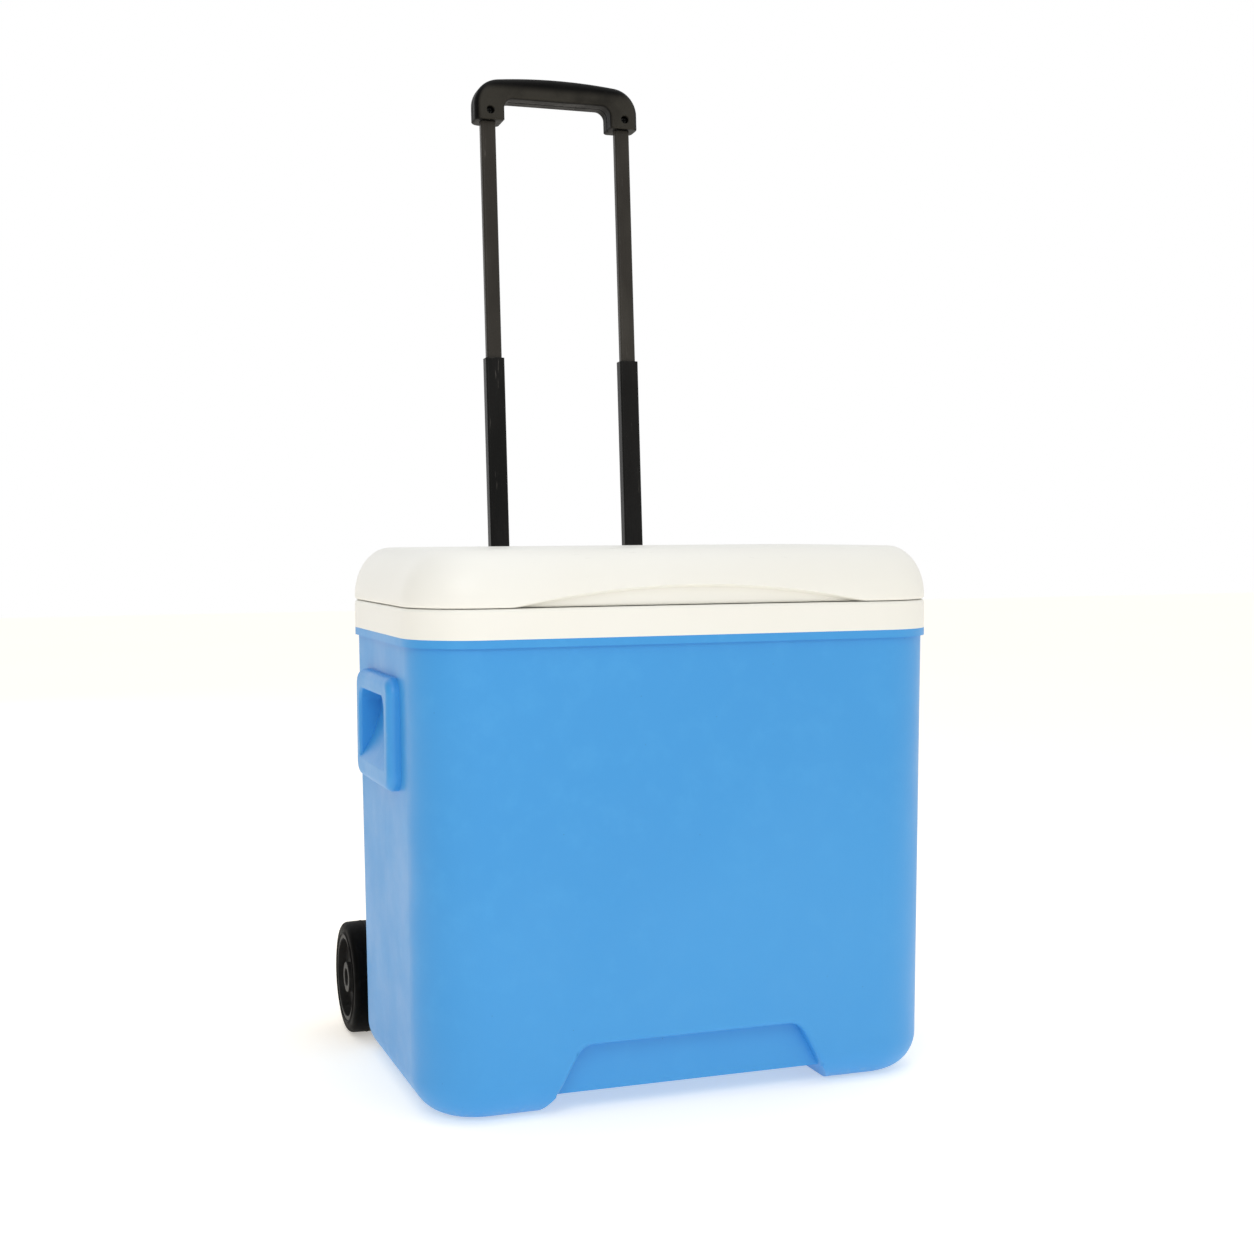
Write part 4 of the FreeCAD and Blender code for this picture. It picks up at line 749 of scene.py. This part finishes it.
# %% Grip section and surface
def rounded_section(half_width, half_depth, outer_radius, inner_radius, groove):
    """Section points (across, depth), outer side positive; a groove is pressed in at mid depth on both sides.

    Each corner is a quarter circle, large on the outer side and small on the inner."""
    turn = np.radians(np.linspace(0, 90, 10))
    near = np.array([-0.0008, -0.0004, 0.0, 0.0004, 0.0008])

    def side(radius):
        reach = np.array([-1.0, -0.8, -0.5, -0.2]) * (half_depth - radius)
        depth = np.concatenate([reach, near, -reach[::-1]])
        across = half_width - groove * np.exp(-(depth / 0.00035) ** 2)
        corner = np.stack([half_width - radius + radius * np.sin(turn),
                           radius - half_depth - radius * np.cos(turn)], 1)
        return corner[1:-1], np.stack([across, depth], 1)

    outer_corner, outer_side = side(outer_radius)
    inner_corner, inner_side = side(inner_radius)
    flat = np.linspace(inner_radius - half_width, half_width - outer_radius, 31)
    front = np.stack([flat, np.full_like(flat, -half_depth)], 1)
    flip_x = np.array([-1.0, 1.0])
    flip_y = np.array([1.0, -1.0])
    return np.concatenate([front, outer_corner, outer_side, (outer_corner * flip_y)[::-1], (front * flip_y)[::-1],
                           inner_corner * flip_x * flip_y, (inner_side * flip_x)[::-1],
                           (inner_corner * flip_x)[::-1]])


def grip_surface():
    """Section point = middle + across along the edge-to-edge line + depth; end rows close the feet."""
    middle = (outer_edge + inner_edge) / 2
    reach = outer_edge - inner_edge
    width = np.hypot(reach[:, 0], reach[:, 1])
    direction = reach / width[:, None]
    rows = []
    foot_inset = np.array([0.012, 0.004, 0.0014, 0.0006, 0.0])
    lift = np.array([0.0, 0.0, 0.0, 0.0003, 0.0012])
    stations = list(range(len(middle)))
    order = [(0, inset, rise) for inset, rise in zip(foot_inset, lift)] + \
        [(station, 0.0, 0.0) for station in stations[3:-3]] + \
        [(stations[-1], inset, rise) for inset, rise in zip(foot_inset[::-1], lift[::-1])]
    for station, inset, rise in order:
        section = rounded_section(width[station] / 2 - inset, GRIP_DEPTH / 2 - inset,
                                  OUTER_ROUND - inset * 0.6, INNER_ROUND - inset * 0.3, 0.0005)
        x = middle[station, 0] + direction[station, 0] * section[:, 0]
        s = middle[station, 1] + direction[station, 1] * section[:, 0] + rise
        rows.append(np.stack([x, section[:, 1], s], 1))
    return np.array(rows)


WELL_RADIUS = 0.0036
WELL_DEPTH = 0.0062
WELL_RISE = 0.009


def sink_wells(rows):
    """Presses a round well into the front of each post: depth grows in a steep step inside its radius."""
    distance = np.hypot(np.abs(rows[..., 0]) - TUBE_X, rows[..., 2] - WELL_RISE)
    front = rows[..., 1] < -GRIP_DEPTH / 2 + 0.001
    press = WELL_DEPTH * smooth_step((WELL_RADIUS + 0.0004 - distance) / 0.0006)
    rows[..., 1] += np.where(front, press, 0.0)
    return rows


def lean_back(rows, foot):
    """Turns upright grip coordinates (x, depth, rise) back by the handle's lean, about the posts' feet."""
    y = foot[1] + rows[..., 1] * math.cos(LEAN) + rows[..., 2] * math.sin(LEAN)
    z = foot[2] - rows[..., 1] * math.sin(LEAN) + rows[..., 2] * math.cos(LEAN)
    return np.stack([rows[..., 0], y, z], -1)


round_rise = GRIP_RISE - OUTER_ROUND
round_depth = GRIP_DEPTH / 2 - OUTER_ROUND
grip_foot_z = (max(grip_high.z, grip_back_high.z) - round_rise * math.cos(LEAN)
               - round_depth * math.sin(LEAN) - OUTER_ROUND)
grip_back_y = grip_back_high.y - round_depth * math.cos(LEAN) - OUTER_ROUND - round_rise * math.sin(LEAN)
grip_rows = lean_back(sink_wells(grip_surface()), (0.0, grip_back_y, grip_foot_z))
row_count, column_count = grip_rows.shape[:2]
foot_caps = [list(range(column_count)), list(range((row_count - 1) * column_count, row_count * column_count))]
grip_faces = grid_faces(row_count, column_count).tolist() + foot_caps
pull_grip = build("pull_grip", grip_rows, grip_faces, finishes["grip_plastic"], "upper_stage",
                  ["grip_front", "grip_back"], sharp=45.0)

# %% [markdown]
# ## Softened hard parts
# Brackets, clamps, hinges and hubs are simple shapes whose edges catch the light. Their CAD meshes are
# copied, welded into clean flat faces and given a narrow bevel, which is what the mould leaves on them.

# %% Bevelled copies
def soften(node, width, name):
    """A welded copy of a CAD node with a narrow rounded bevel on each of its sharp edges."""
    source = nodes[node]
    mesh = bpy.data.meshes.new(name)
    work = bmesh.new()
    work.from_mesh(source.data)
    bmesh.ops.remove_doubles(work, verts=work.verts, dist=2e-6)
    bmesh.ops.dissolve_limit(work, angle_limit=math.radians(0.6), verts=work.verts, edges=work.edges)
    work.to_mesh(mesh)
    work.free()
    piece = bpy.data.objects.new(name, mesh)
    scene.collection.objects.link(piece)
    mesh.shade_smooth()
    mesh.set_sharp_from_angle(angle=math.radians(30))
    bevel = piece.modifiers.new("edge", "BEVEL")
    bevel.width = width
    bevel.segments = 2
    bevel.limit_method = "ANGLE"
    bevel.angle_limit = math.radians(32)
    bevel.harden_normals = True
    bevel.use_clamp_overlap = True
    mesh.materials.clear()
    mesh.materials.append(finishes[slots[node]])
    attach(piece, source["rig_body"])
    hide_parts(node)
    print(name, len(mesh.polygons), "faces")
    return piece


slots = {piece["node"]: piece["material_slot"] for piece in frame["record"]["subparts"]}
softened = {
    "left_wheel_hub": 0.0007, "right_wheel_hub": 0.0007, "upper_bracket": 0.0009, "tube_clamp": 0.001,
    "axle_carrier": 0.0009, "left_hinge_base": 0.0006, "right_hinge_base": 0.0006,
}
for node, width in softened.items():
    soften(node, width, node + "_soft")

# %% Finishes for the CAD pieces
for name, piece in nodes.items():
    piece.data.materials.clear()
    piece.data.materials.append(finishes[slots[name]])
for name in ("left_upper_tube", "right_upper_tube"):
    nodes[name].data.materials[0] = upper_tube_finish
print("finished", len(slots), "CAD pieces")
